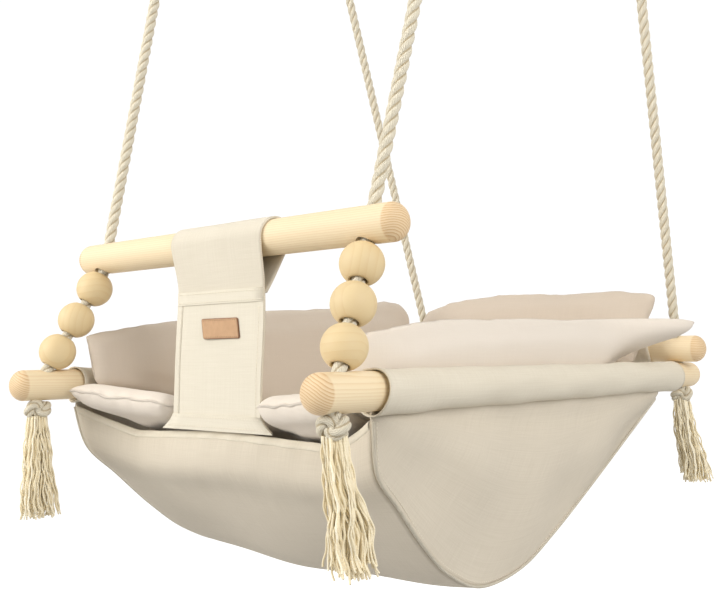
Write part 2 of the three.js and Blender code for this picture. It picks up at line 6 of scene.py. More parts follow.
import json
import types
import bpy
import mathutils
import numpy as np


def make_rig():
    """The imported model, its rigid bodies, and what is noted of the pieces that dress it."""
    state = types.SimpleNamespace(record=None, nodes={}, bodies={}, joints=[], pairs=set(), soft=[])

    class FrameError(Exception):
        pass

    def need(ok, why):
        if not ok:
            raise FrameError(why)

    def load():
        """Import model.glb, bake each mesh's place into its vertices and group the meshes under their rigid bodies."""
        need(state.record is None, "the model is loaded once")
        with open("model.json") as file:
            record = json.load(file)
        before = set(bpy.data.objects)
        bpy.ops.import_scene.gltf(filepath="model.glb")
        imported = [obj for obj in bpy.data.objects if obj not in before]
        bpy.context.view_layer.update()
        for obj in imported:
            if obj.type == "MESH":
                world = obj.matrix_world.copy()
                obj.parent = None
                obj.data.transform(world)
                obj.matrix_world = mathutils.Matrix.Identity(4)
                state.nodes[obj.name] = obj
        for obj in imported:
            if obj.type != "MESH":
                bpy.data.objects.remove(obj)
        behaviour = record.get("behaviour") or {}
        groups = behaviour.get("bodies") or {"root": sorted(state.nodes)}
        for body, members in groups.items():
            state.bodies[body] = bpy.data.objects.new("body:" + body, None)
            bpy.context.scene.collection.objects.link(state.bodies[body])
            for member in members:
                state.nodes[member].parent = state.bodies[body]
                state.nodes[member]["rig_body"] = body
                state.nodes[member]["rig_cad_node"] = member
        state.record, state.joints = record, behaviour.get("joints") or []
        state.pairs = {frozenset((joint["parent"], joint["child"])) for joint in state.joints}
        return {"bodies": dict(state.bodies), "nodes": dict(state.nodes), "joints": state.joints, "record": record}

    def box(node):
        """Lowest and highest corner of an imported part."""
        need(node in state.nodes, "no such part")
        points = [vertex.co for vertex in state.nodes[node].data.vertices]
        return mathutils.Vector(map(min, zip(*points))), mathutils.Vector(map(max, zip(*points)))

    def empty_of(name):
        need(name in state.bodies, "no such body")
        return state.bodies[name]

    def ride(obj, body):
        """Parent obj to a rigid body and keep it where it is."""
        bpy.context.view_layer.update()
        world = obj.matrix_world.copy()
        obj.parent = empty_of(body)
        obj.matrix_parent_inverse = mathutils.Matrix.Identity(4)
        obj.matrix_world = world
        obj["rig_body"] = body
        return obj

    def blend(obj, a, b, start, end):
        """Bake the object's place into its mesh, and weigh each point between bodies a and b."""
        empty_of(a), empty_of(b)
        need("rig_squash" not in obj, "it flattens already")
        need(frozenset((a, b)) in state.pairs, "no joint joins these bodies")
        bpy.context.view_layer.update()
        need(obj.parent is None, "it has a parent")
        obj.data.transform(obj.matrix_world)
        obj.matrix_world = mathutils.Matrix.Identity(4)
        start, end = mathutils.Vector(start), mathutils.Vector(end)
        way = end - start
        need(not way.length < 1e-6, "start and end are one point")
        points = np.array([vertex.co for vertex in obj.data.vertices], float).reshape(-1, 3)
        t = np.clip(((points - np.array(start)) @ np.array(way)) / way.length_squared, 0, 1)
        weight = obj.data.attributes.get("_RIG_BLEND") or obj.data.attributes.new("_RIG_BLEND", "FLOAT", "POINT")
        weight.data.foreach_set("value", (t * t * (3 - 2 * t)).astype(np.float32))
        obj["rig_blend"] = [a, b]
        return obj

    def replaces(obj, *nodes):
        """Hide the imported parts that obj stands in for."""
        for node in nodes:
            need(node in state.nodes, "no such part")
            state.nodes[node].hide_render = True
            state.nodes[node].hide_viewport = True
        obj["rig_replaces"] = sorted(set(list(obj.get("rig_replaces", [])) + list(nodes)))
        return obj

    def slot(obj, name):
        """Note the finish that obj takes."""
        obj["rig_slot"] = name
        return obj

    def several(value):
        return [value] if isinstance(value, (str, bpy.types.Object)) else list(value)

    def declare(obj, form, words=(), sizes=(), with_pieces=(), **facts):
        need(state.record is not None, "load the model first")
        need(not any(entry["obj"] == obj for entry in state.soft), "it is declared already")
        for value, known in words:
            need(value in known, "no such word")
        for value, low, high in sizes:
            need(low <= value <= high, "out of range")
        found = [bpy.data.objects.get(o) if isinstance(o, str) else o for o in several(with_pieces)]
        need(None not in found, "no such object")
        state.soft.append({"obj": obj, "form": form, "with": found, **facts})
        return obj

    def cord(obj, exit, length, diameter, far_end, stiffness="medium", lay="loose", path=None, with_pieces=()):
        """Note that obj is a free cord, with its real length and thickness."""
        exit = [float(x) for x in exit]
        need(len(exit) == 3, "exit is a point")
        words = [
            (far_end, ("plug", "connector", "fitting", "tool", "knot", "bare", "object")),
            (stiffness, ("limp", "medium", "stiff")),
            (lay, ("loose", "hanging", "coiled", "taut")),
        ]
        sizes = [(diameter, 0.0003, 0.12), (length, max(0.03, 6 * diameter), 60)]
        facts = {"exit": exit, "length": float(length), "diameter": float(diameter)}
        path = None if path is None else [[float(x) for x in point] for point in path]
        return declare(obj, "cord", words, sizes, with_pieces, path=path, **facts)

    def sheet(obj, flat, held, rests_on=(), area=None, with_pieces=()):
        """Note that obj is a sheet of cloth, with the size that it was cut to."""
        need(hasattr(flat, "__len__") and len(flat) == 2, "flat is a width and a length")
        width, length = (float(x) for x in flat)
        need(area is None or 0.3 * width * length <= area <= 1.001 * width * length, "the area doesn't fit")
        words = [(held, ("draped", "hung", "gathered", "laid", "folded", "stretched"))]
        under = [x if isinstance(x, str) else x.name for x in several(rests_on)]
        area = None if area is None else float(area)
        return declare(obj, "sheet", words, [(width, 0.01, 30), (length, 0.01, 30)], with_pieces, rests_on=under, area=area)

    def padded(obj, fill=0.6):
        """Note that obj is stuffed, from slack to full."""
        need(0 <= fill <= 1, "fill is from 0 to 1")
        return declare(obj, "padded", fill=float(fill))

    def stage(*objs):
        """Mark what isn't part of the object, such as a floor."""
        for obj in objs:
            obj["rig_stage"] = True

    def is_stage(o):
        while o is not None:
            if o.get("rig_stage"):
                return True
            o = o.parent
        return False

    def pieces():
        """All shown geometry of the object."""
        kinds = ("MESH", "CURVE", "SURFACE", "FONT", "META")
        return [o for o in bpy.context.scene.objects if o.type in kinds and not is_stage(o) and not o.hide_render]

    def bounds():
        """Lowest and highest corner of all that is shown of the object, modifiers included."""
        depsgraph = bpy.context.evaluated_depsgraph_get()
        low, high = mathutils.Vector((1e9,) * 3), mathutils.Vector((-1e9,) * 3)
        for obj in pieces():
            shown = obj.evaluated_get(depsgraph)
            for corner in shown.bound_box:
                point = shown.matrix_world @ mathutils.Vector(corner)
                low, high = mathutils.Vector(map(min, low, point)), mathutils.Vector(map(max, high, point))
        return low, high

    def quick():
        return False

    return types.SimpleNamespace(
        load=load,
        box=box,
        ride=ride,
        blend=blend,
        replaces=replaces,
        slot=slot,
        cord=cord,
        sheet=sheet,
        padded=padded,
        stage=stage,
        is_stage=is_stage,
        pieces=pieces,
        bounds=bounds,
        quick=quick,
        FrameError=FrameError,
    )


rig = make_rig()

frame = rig.load()

import json
import math

import bmesh
import bpy
import numpy as np
from mathutils import Vector
from mathutils.kdtree import KDTree

cad_box = [list(corner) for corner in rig.bounds()]
scene = bpy.context.scene


# ---- Camera, floor and light ----------------------------------------------------------------------
# A plain studio: a pale floor well below the hanging seat, a white surround, and three wide soft lamps.
# The camera stands low in front of the right-hand side and looks slightly up through the seat.

bar_low, bar_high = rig.box("front_bar")
BAR = (bar_low + bar_high) / 2
CAMERA_PLACE = BAR + Vector((0.643, -0.534, -0.105))
CAMERA_AIM = Vector((-0.664, 0.7447, 0.0659))
SEAT_MIDDLE = BAR + Vector((0, 0.25, -0.15))
SKY_LIGHT = 0.66
GROUND_LIGHT = 0.54
WARM_WHITE = (1.0, 0.985, 0.96)
FLOOR_DROP = 0.55
FLOOR_REACH = 9


def place_aimed(name, data, place, aim):
    item = bpy.data.objects.new(name, data)
    item.location = place
    item.rotation_mode = "QUATERNION"
    item.rotation_quaternion = aim.to_track_quat("-Z", "Y")
    scene.collection.objects.link(item)
    return item


camera = place_aimed("camera", bpy.data.cameras.new("camera"), CAMERA_PLACE, CAMERA_AIM)
camera.data.sensor_width = 36
camera.data.lens = 47.37
scene.camera = camera
scene.view_settings.view_transform = "Standard"

for name, offset, size, power, colour in (("key_lamp", (-1.0, -1.8, 0.7), 1.4, 32, WARM_WHITE),
                                          ("side_lamp", (1.9, -0.5, 0.9), 1.2, 21, (1, 1, 1)),
                                          ("back_lamp", (-0.6, 1.9, 1.4), 1.4, 6, (1, 1, 1))):
    light = bpy.data.lights.new(name, "AREA")
    light.shape = "DISK"
    light.size = size
    light.energy = power
    light.color = colour
    place_aimed(name, light, SEAT_MIDDLE + Vector(offset), -Vector(offset))

trees = []


class Flow:
    """A value on its way between nodes. Arithmetic on it adds Math nodes to the newest tree."""

    def __init__(self, socket):
        self.socket = socket

    def __add__(self, other):
        return calc("ADD", self, other)

    def __sub__(self, other):
        return calc("SUBTRACT", self, other)

    def __mul__(self, other):
        return calc("MULTIPLY", self, other)

    def __truediv__(self, other):
        return calc("DIVIDE", self, other)

    def __pow__(self, other):
        return calc("POWER", self, other)


def feed(node, inputs):
    """Sets a node's inputs, or links them where the value comes from another node."""
    for key, value in inputs.items():
        if isinstance(value, Flow):
            trees[-1].links.new(value.socket, node.inputs[key])
        else:
            node.inputs[key].default_value = value


def put(kind, inputs=None, **settings):
    """Adds a node to the newest tree."""
    node = trees[-1].nodes.new(kind)
    for name, value in settings.items():
        setattr(node, name, value)
    feed(node, inputs or {})
    return node


def flow(kind, inputs=None, output=0, **settings):
    """Adds a node and gives one of its outputs."""
    return Flow(put(kind, inputs, **settings).outputs[output])


def calc(operation, *values, clamp=False):
    return flow("ShaderNodeMath", dict(enumerate(values)), operation=operation, use_clamp=clamp)


def parts_of(vector):
    split = put("ShaderNodeSeparateXYZ", {"Vector": vector})
    return [Flow(split.outputs[axis]) for axis in "XYZ"]


world = bpy.data.worlds.new("studio")
world.use_nodes = True
trees.append(world.node_tree)
facing_up = parts_of(flow("ShaderNodeTexCoord", output="Generated"))[2]
strength = flow("ShaderNodeMapRange", {"Value": facing_up, "From Min": -0.5, "From Max": 0.5,
                                       "To Min": GROUND_LIGHT, "To Max": SKY_LIGHT})
surround = world.node_tree.nodes["Background"]
feed(surround, {"Color": (*WARM_WHITE, 1), "Strength": strength})
backdrop = flow("ShaderNodeBackground", {"Color": (1, 1, 1, 1), "Strength": 1.05})
either = flow("ShaderNodeMixShader", {"Fac": flow("ShaderNodeLightPath", output="Is Camera Ray"),
                                      1: Flow(surround.outputs["Background"]), 2: backdrop})
feed(world.node_tree.nodes["World Output"], {"Surface": either})
scene.world = world


def new_material(name, roughness):
    """A material and its shader. Its tree becomes the newest one."""
    material = bpy.data.materials.new(name)
    material.use_nodes = True
    trees.append(material.node_tree)
    shader = material.node_tree.nodes["Principled BSDF"]
    feed(shader, {"Roughness": roughness})
    return material, shader


floor_mesh = bpy.data.meshes.new("floor")
floor_mesh.from_pydata([(x * FLOOR_REACH, y * FLOOR_REACH, cad_box[0][2] - FLOOR_DROP)
                        for x, y in ((-1, -1), (1, -1), (1, 1), (-1, 1))], [], [(0, 1, 2, 3)])
floor = bpy.data.objects.new("floor", floor_mesh)
scene.collection.objects.link(floor)
floor.visible_diffuse = False
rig.stage(floor)
floor_paint, shader = new_material("floor_paint", 0.9)
feed(shader, {"Base Color": (0.93, 0.93, 0.93, 1), "Emission Color": (1, 1, 1, 1), "Emission Strength": 0.55})
floor_mesh.materials.append(floor_paint)


# ---- Ropes ----------------------------------------------------------------------------------------
# Natural cotton rope, three strands laid right-handed, 11 mm thick. Each rope comes down from the knot
# below its ring. The front one turns at the front bar and runs on through three beads and the rail.

SIDES = (("left", -1), ("right", 1))
ROPE_RADIUS = 0.0055
ROPE_LAY = 0.034
STRANDS = 3
HANG_POINT = Vector((0.230, 0.216, 0.940))
FRONT_HOLE = Vector((0.174, 0, 0))
BACK_HOLE = Vector((0.179, 0.531, -0.0862))
RAIL_FRONT = Vector((0.194, -0.0595, -0.124))
BAR_RADIUS = 0.015
RAIL_RADIUS = 0.0145
FIT_GAP = 0.00035
KNOT_REACH = 0.0230
ROPE_TOP_DROP = 0.040


def on_side(point, sign):
    """A point given from the middle of the front bar on the right-hand side, taken to either side."""
    return BAR + Vector((point[0] * sign, point[1], point[2]))


def towards(start, end):
    return (end - start).normalized()


def spread(first, last, count, closed=False):
    """Evenly spaced numbers; a closed round leaves out the last one."""
    steps = count if closed else count - 1
    return [first + (last - first) * i / steps for i in range(count)]


front_direction = towards(FRONT_HOLE, HANG_POINT)
rear_direction = towards(BACK_HOLE, HANG_POINT)
RAIL_REAR = BACK_HOLE - rear_direction * ((BAR_RADIUS + RAIL_RADIUS + FIT_GAP) / rear_direction.z)
rail_direction = towards(RAIL_FRONT, RAIL_REAR)
KINK = FRONT_HOLE - front_direction * (BAR_RADIUS + FIT_GAP)
bead_direction = towards(KINK, RAIL_FRONT)
FRONT_KNOT = RAIL_FRONT - Vector((0, 0, KNOT_REACH))
REAR_KNOT = RAIL_REAR - rear_direction * KNOT_REACH


def xyz(x, y, z):
    return flow("ShaderNodeCombineXYZ", {"X": x, "Y": y, "Z": z})


def open_tree(name, inputs):
    """A Geometry Nodes tree with named inputs, and a way to ask for them."""
    tree = bpy.data.node_groups.new(name, "GeometryNodeTree")
    trees.append(tree)
    for label, kind in {"Geometry": "Geometry", **inputs, "Material": "Material"}.items():
        tree.interface.new_socket(label, in_out="INPUT", socket_type="NodeSocket" + kind)
    tree.interface.new_socket("Geometry", in_out="OUTPUT", socket_type="NodeSocketGeometry")
    entry = tree.nodes.new("NodeGroupInput")
    return tree, lambda label: Flow(entry.outputs[label])


def close_tree(geometry, material):
    real = flow("GeometryNodeRealizeInstances", {"Geometry": geometry})
    smooth = flow("GeometryNodeSetShadeSmooth", {"Geometry": real})
    coated = flow("GeometryNodeSetMaterial", {"Geometry": smooth, "Material": material})
    put("NodeGroupOutput", {"Geometry": coated})


def store(geometry, name, value, kind="FLOAT"):
    """Keeps a value on the geometry, under a name that its material reads."""
    return flow("GeometryNodeStoreNamedAttribute", {"Geometry": geometry, "Name": name, "Value": value},
                data_type=kind)


def given_curve():
    return flow("GeometryNodeMeshToCurve", {"Mesh": given("Geometry")})


def swept(curve, profile):
    """The closed skin of a profile that is carried along a curve."""
    return flow("GeometryNodeCurveToMesh", {"Curve": curve, "Profile Curve": profile, "Fill Caps": True})


def add_piece(name, mesh, body=None, slot=None, replaces=(), material=None):
    """Puts a finished mesh into the scene as a piece that moves with a body."""
    if material:
        mesh.materials.append(material)
    piece = bpy.data.objects.new(name, mesh)
    scene.collection.objects.link(piece)
    if body:
        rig.ride(piece, body)
    if slot:
        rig.slot(piece, slot)
    if replaces:
        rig.replaces(piece, *replaces)
    return piece


def evaluated_mesh(base):
    """The plain mesh of an object with its modifiers, which then leaves the scene."""
    bpy.context.view_layer.update()
    graph = bpy.context.evaluated_depsgraph_get()
    mesh = bpy.data.meshes.new_from_object(base.evaluated_get(graph))
    bpy.data.objects.remove(base)
    return mesh


def line_mesh(points, closed=False):
    """A bare line of edges for a tree to build on."""
    mesh = bpy.data.meshes.new("line")
    edges = [(i, i + 1) for i in range(len(points) - 1)] + [(len(points) - 1, 0)] * closed
    mesh.from_pydata([tuple(p) for p in points], edges, [])
    return mesh


def grow(tree, mesh, **values):
    """Runs a tree on a mesh and gives back the plain mesh that it makes."""
    base = add_piece("base", mesh)
    modifier = base.modifiers.new(tree.name, "NODES")
    modifier.node_group = tree
    for item in tree.interface.items_tree:
        if item.in_out == "INPUT" and item.name in values:
            modifier[item.identifier] = values[item.name]
    return evaluated_mesh(base)


ROPE_SIDES = 24

rope_tree, given = open_tree("twisted_rope", {"Radius": "Float", "Lay": "Float"})
reach_along = flow("GeometryNodeSplineParameter", output="Length")
turned_so_far = reach_along * math.tau / given("Lay")
tilted = flow("GeometryNodeSetCurveTilt", {"Curve": given_curve(), "Tilt": turned_so_far})
turn = flow("GeometryNodeInputIndex") * (math.tau / ROPE_SIDES)
across, ahead = calc("COSINE", turn), calc("SINE", turn)
ridge = calc("ABSOLUTE", calc("COSINE", turn * (STRANDS / 2)))
lobe_radius = (ridge ** 0.75 * 0.34 + 0.68) * given("Radius")
lobed = flow("GeometryNodeSetPosition", {
    "Geometry": flow("GeometryNodeCurvePrimitiveCircle", {"Resolution": ROPE_SIDES}, "Curve"),
    "Position": xyz(across * lobe_radius, ahead * lobe_radius, 0.0)})
profile = store(lobed, "around", xyz(across, ahead, 0.0), "FLOAT_VECTOR")
close_tree(swept(store(tilted, "along", reach_along), profile), given("Material"))


def srgb(red, green, blue):
    """A colour as it looks on a screen, 0 to 255, in the shader's own light units."""
    return tuple(((c / 255 + 0.055) / 1.055) ** 2.4 for c in (red, green, blue)) + (1,)


def attribute(name, output="Fac"):
    return flow("ShaderNodeAttribute", output=output, attribute_name=name)


def noise(scale, detail, place=None, output="Fac"):
    inputs = {"Scale": scale, "Detail": detail}
    if place:
        inputs["Vector"] = place
    return flow("ShaderNodeTexNoise", inputs, output)


def mix(share, first, second):
    """Between two colours."""
    return flow("ShaderNodeMix", {0: share, 6: first, 7: second}, 2, data_type="RGBA")


def raise_surface(shader, height, distance, strength=1.0):
    bump = flow("ShaderNodeBump", {"Height": height, "Distance": distance, "Strength": strength}, "Normal")
    feed(shader, {"Normal": bump})


YARNS_ROUND = 21

cotton, shader = new_material("rope_cotton", 0.95)
across, ahead, _ = parts_of(attribute("around", "Vector"))
angle = calc("ARCTAN2", ahead, across)
laid = attribute("along") * (math.tau / ROPE_LAY) + angle
yarn = calc("SINE", noise(900.0, 2.0) * 2.0 + laid * YARNS_ROUND) * 0.5 + 0.5
strand = calc("ABSOLUTE", calc("COSINE", angle * (STRANDS / 2)))
# Painted shade: the rope's colour is darkened in the grooves between its three strands, where shade falls.
groove_shade = calc("SMOOTH_MIN", strand * 2.2, 1.0, 0.3)
lit = calc("MULTIPLY", groove_shade, yarn * 0.34 + 0.70, clamp=True)
feed(shader, {"Base Color": mix(lit, srgb(204, 184, 146), srgb(247, 239, 218))})
raise_surface(shader, yarn, 0.0006)


def straight(start, end, step=0.0024):
    count = max(2, round((end - start).length / step))
    return [start.lerp(end, i / count) for i in range(count + 1)]


def below_hang(direction):
    return HANG_POINT - direction * (ROPE_TOP_DROP / direction.z)


KINK_RUN = 0.006
KNOT_COVER = 0.006


def bend(before, corner, after, steps=7):
    """The points of a soft turn from one straight run to the next."""
    return [before.lerp(corner, t).lerp(corner.lerp(after, t), t) for t in spread(0, 1, steps)]


def front_route(sign):
    top = on_side(below_hang(front_direction), sign)
    kink = on_side(KINK, sign)
    entering = on_side(KINK + front_direction * KINK_RUN, sign)
    leaving = on_side(KINK + bead_direction * KINK_RUN, sign)
    in_rail = on_side(RAIL_FRONT + bead_direction * 0.003, sign)
    turning = on_side(RAIL_FRONT + bead_direction * 0.011, sign)
    foot = on_side(FRONT_KNOT + Vector((0, 0, KNOT_COVER)), sign)
    return (straight(top, entering)[:-1] + bend(entering, kink, leaving)
            + straight(leaving, in_rail)[1:-1] + bend(in_rail, turning, foot))


def rear_route(sign):
    top = on_side(below_hang(rear_direction), sign)
    foot = on_side(REAR_KNOT + rear_direction * KNOT_COVER, sign)
    return straight(top, foot)


def line_length(points):
    return sum((b - a).length for a, b in zip(points, points[1:]))


for side, sign in SIDES:
    for end, route in (("front", front_route(sign)), ("rear", rear_route(sign))):
        skin = grow(rope_tree, line_mesh(route), Radius=ROPE_RADIUS, Lay=ROPE_LAY, Material=cotton)
        rope = add_piece(f"{end}_{side}_twisted_rope", skin, "seat", "rope", [f"{end}_rope_{side}"])
        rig.cord(rope, exit=route[-1], length=line_length(route), diameter=2 * ROPE_RADIUS,
                far_end="knot", stiffness="limp", lay="taut", path=route)


# ---- Hanging rings and the knots below them -------------------------------------------------------
# A welded ring of 6 mm steel wire on each side. The two ropes of a side are tied together below it and
# go round its wire as one loop, drawn here as a loop and an overhand knot of the same rope.

RING_RADIUS = 0.023
RING_WIRE = 0.003
LOOP_RADIUS = 0.017
LOOP_PLAY = 0.0015
HANG_KNOT_DROP = 0.036
HANG_KNOT_SIZE = 0.0041

steel, shader = new_material("ring_steel", 0.3)
scratches = noise(260.0, 4.0)
feed(shader, {"Metallic": 1.0, "Roughness": scratches * 0.24 + 0.18,
              "Base Color": mix(scratches, srgb(172, 174, 178), srgb(214, 216, 220))})
raise_surface(shader, scratches, 0.00003)


def round_profile(sides, radius):
    return flow("GeometryNodeCurvePrimitiveCircle", {"Resolution": sides, "Radius": radius}, "Curve")


wire_tree, given = open_tree("round_wire", {"Radius": "Float", "Sides": "Int"})
close_tree(swept(given_curve(), round_profile(given("Sides"), given("Radius"))), given("Material"))


def circle_points(centre, radius, first, second, count=72):
    return [centre + radius * (math.cos(a) * first + math.sin(a) * second)
            for a in spread(0, math.tau, count, closed=True)]


def overhand(centre, size, up, radius, flat=1.0, turned_by=0.0, count=150):
    """A closed overhand knot of rope round a point, flattened along the rope's direction."""
    side = up.orthogonal().normalized()
    front = up.cross(side)
    c, s = math.cos(turned_by), math.sin(turned_by)
    points = []
    for a in spread(0, math.tau, count, closed=True):
        x = math.sin(a) + 2 * math.sin(2 * a)
        y = math.cos(a) - 2 * math.cos(2 * a)
        z = -math.sin(3 * a) * 1.6 * flat
        points.append(centre + size * ((c * x - s * y) * side + (s * x + c * y) * front + z * up))
    return grow(rope_tree, line_mesh(points, True), Radius=radius, Lay=ROPE_LAY, Material=cotton)


def join_meshes(meshes):
    """One mesh of several, each keeping its attributes."""
    parts = [add_piece(f"part_{i}", mesh) for i, mesh in enumerate(meshes)]
    with bpy.context.temp_override(active_object=parts[0], selected_editable_objects=parts,
                                   selected_objects=parts, object=parts[0]):
        bpy.ops.object.join()
    mesh = parts[0].data
    bpy.data.objects.remove(parts[0])
    return mesh


X_AXIS, Y_AXIS, Z_AXIS = Vector((1, 0, 0)), Vector((0, 1, 0)), Vector((0, 0, 1))

for side, sign in SIDES:
    hang = on_side(HANG_POINT, sign)
    ring_line = circle_points(hang + RING_RADIUS * Z_AXIS, RING_RADIUS, X_AXIS, Z_AXIS, 96)
    ring = grow(wire_tree, line_mesh(ring_line, True), Radius=RING_WIRE, Sides=20, Material=steel)
    add_piece(f"{side}_steel_ring", ring, "hanger", "steel", [f"hang_ring_{side}"])

    loop_middle = hang + (RING_WIRE + ROPE_RADIUS + LOOP_PLAY - LOOP_RADIUS) * Z_AXIS
    loop = grow(rope_tree, line_mesh(circle_points(loop_middle, LOOP_RADIUS, Y_AXIS, Z_AXIS), True),
                Radius=ROPE_RADIUS, Lay=math.tau * LOOP_RADIUS / 3, Material=cotton)
    knot = overhand(hang - HANG_KNOT_DROP * Z_AXIS, HANG_KNOT_SIZE, Z_AXIS, ROPE_RADIUS)
    add_piece(f"{side}_hanging_loop", join_meshes([loop, knot]), "seat", "rope", [f"hang_knot_{side}"])


# ---- Knots under the rails ------------------------------------------------------------------------
# Each rope is tied off in an overhand knot right under its rail, which carries the rail's weight.

LOWER_ROPE_RADIUS = 0.0048
LOWER_KNOT_SIZE = 0.0029


def mirrored(direction, sign):
    return Vector((direction.x * sign, direction.y, direction.z))


for side, sign in SIDES:
    for end, centre, up in (("front", FRONT_KNOT, Vector((0.12, 0.10, 1)).normalized()),
                            ("rear", REAR_KNOT, rear_direction)):
        skin = overhand(on_side(centre, sign), LOWER_KNOT_SIZE, mirrored(up, sign), LOWER_ROPE_RADIUS,
                        flat=0.9, turned_by=0.6 * sign)
        add_piece(f"{end}_{side}_stopper_knot", skin, "seat", "rope", [f"{end}_knot_{side}"])


# ---- Tassels --------------------------------------------------------------------------------------
# Below its knot the rope is unlaid into its yarns, which hang as three loose, crimped bundles with a
# frayed end. They are cotton yarn, about a millimetre and a half thick.

TASSEL_LENGTH = 0.096
TASSEL_YARNS = 140
YARN_RADIUS = 0.00080
YARN_STEPS = 40
CRIMP_PITCH = 0.021
YARN_TWIST = 0.0022

tassel_tree, given = open_tree("tassel_yarns", {
    "Head": "Vector", "Count": "Int", "Length": "Float", "Top Radius": "Float", "Foot Radius": "Float",
    "Yarn Radius": "Float", "Lean": "Vector", "Seed": "Int"})


def chance(low, high, seed):
    """A random number for each yarn."""
    yarn_number = flow("GeometryNodeCurveOfPoint", output="Curve Index")
    return flow("FunctionNodeRandomValue", {2: low, 3: high, "ID": yarn_number,
                                            "Seed": given("Seed") * 17.0 + float(seed)}, 1, data_type="FLOAT")


one_yarn = flow("GeometryNodeCurvePrimitiveLine", {"End": (0, 0, -1)})
yarns = flow("GeometryNodeInstanceOnPoints", {
    "Points": flow("GeometryNodePoints", {"Count": given("Count")}),
    "Instance": flow("GeometryNodeResampleCurve", {"Curve": one_yarn, "Count": YARN_STEPS})})
down = flow("GeometryNodeSplineParameter", output="Factor")
width = down ** 0.75 * (given("Foot Radius") - given("Top Radius")) + given("Top Radius")
bundle = calc("FLOOR", chance(0.0, 2.999, 1))
bundle_angle = bundle * (math.tau / 3) + 0.9
bundle_shift = width * 0.52 * calc("MULTIPLY", down, 1.4, clamp=True)
yarn_angle = chance(0.0, math.tau, 2)
yarn_shift = (width * calc("SQRT", chance(0.0, 1.0, 3)) * (down * -0.42 + 1.0)
              + down ** 6.0 * chance(-0.004, 0.007, 4))
drift = parts_of(noise(1.0, 0.0, xyz(bundle * 7.3, given("Seed") * 3.1, down * 2.6), "Color"))
crimp_turn = down * (given("Length") * (math.tau / CRIMP_PITCH)) + chance(0.0, math.tau, 5)
crimp = chance(0.0002, 0.0009, 6) * calc("MULTIPLY", down, 6.0, clamp=True)


def yarn_reach(turning, drift_part):
    """How far a yarn stands from the tassel's middle, in one of the two level directions."""
    return (calc(turning, yarn_angle) * yarn_shift + calc(turning, bundle_angle) * bundle_shift
            + calc(turning, crimp_turn) * crimp + (drift_part - 0.5) * (down * 0.014))


yarn_place = xyz(yarn_reach("COSINE", drift[0]), yarn_reach("SINE", drift[1]),
                 down * (given("Length") * chance(-1.0, -0.88, 7)))
leaning = flow("ShaderNodeVectorMath", {0: given("Lean"), "Scale": down ** 1.4}, operation="SCALE")
for more in (leaning, given("Head")):
    yarn_place = flow("ShaderNodeVectorMath", {0: yarn_place, 1: more}, operation="ADD")
hung = flow("GeometryNodeSetPosition", {
    "Geometry": flow("GeometryNodeRealizeInstances", {"Geometry": yarns}), "Position": yarn_place})
tinted = store(store(hung, "yarn_tint", chance(0.0, 1.0, 8)), "along", down)
close_tree(swept(tinted, round_profile(5, given("Yarn Radius"))), given("Material"))

tassel_cotton, shader = new_material("tassel_cotton", 0.95)
twist = calc("SINE", attribute("along") * (math.tau * TASSEL_LENGTH / YARN_TWIST))
shade = calc("ADD", twist * 0.05, attribute("yarn_tint") * 0.6 + 0.35, clamp=True)
feed(shader, {"Base Color": mix(shade, srgb(232, 213, 168), srgb(252, 243, 219))})
raise_surface(shader, twist, 0.0001, 0.5)

for number, (end, centre) in enumerate((("front", FRONT_KNOT), ("rear", REAR_KNOT))):
    for side, sign in SIDES:
        head = on_side(centre, sign) - Vector((0, 0, 0.006))
        lean = (0.011, 0.008, 0) if sign > 0 else (0.003, 0, 0)
        skin = grow(tassel_tree, line_mesh([head, head - 0.01 * Z_AXIS]), Head=tuple(head), Lean=lean,
                    Count=TASSEL_YARNS, Length=TASSEL_LENGTH, Seed=2 * number + (sign > 0),
                    Material=tassel_cotton,
                    **{"Top Radius": 0.0086, "Foot Radius": 0.0150, "Yarn Radius": YARN_RADIUS})
        add_piece(f"{end}_{side}_yarn_tassel", skin, f"{end}_tassel_{side}", "rope", [f"{end}_tassel_{side}"])


# ---- Pine bars and rails --------------------------------------------------------------------------
# Four turned pine rods with domed ends: a bar in front, one behind, and a rail on each side, drilled
# across for the ropes. The growth rings run along the rods and come out as dark stripes on the domes.

DOME_DEPTH = 0.012
FRONT_BAR_LENGTH = 0.416
BACK_BAR_LENGTH = 0.424
RAIL_OVERHANGS = (0.027, 0.035)
BAR_PLAY = 0.003
BIT_REACH = 0.04


def turned(outline, centre, axis, sides=56):
    """The mesh of an outline of (along, radius) pairs turned about an axis; radius 0 closes an end."""
    axis = axis.normalized()
    across = axis.orthogonal().normalized()
    third = axis.cross(across)
    vertices, rings = [], []
    for along, radius in outline:
        ring = []
        for a in spread(0, math.tau, sides, closed=True) if radius > 0 else [0.0]:
            ring.append(len(vertices))
            vertices.append(centre + along * axis + radius * (math.cos(a) * across + math.sin(a) * third))
        rings.append(ring)
    faces = []
    for lower, upper in zip(rings, rings[1:]):
        for k in range(sides):
            following = (k + 1) % sides
            faces.append([ring[i % len(ring)] for ring, i in
                          ((lower, k), (lower, following), (upper, following), (upper, k))
                          if len(ring) > 1 or i == k])
    mesh = bpy.data.meshes.new("turned")
    mesh.from_pydata(vertices, [], faces)
    mesh.shade_smooth()
    return mesh


def rod_outline(length, radius):
    dome = []
    for a in spread(0, math.pi / 2, 12):
        dome.append((length / 2 - DOME_DEPTH * (1 - math.cos(a)), radius * math.sin(a)))
    dome[0] = (length / 2, 0)
    shaft = [(s, radius) for s in spread(0, length / 2 - DOME_DEPTH - 0.0008, 24)]
    half = shaft + dome[::-1]
    return [(-s, r) for s, r in half[:0:-1]] + half


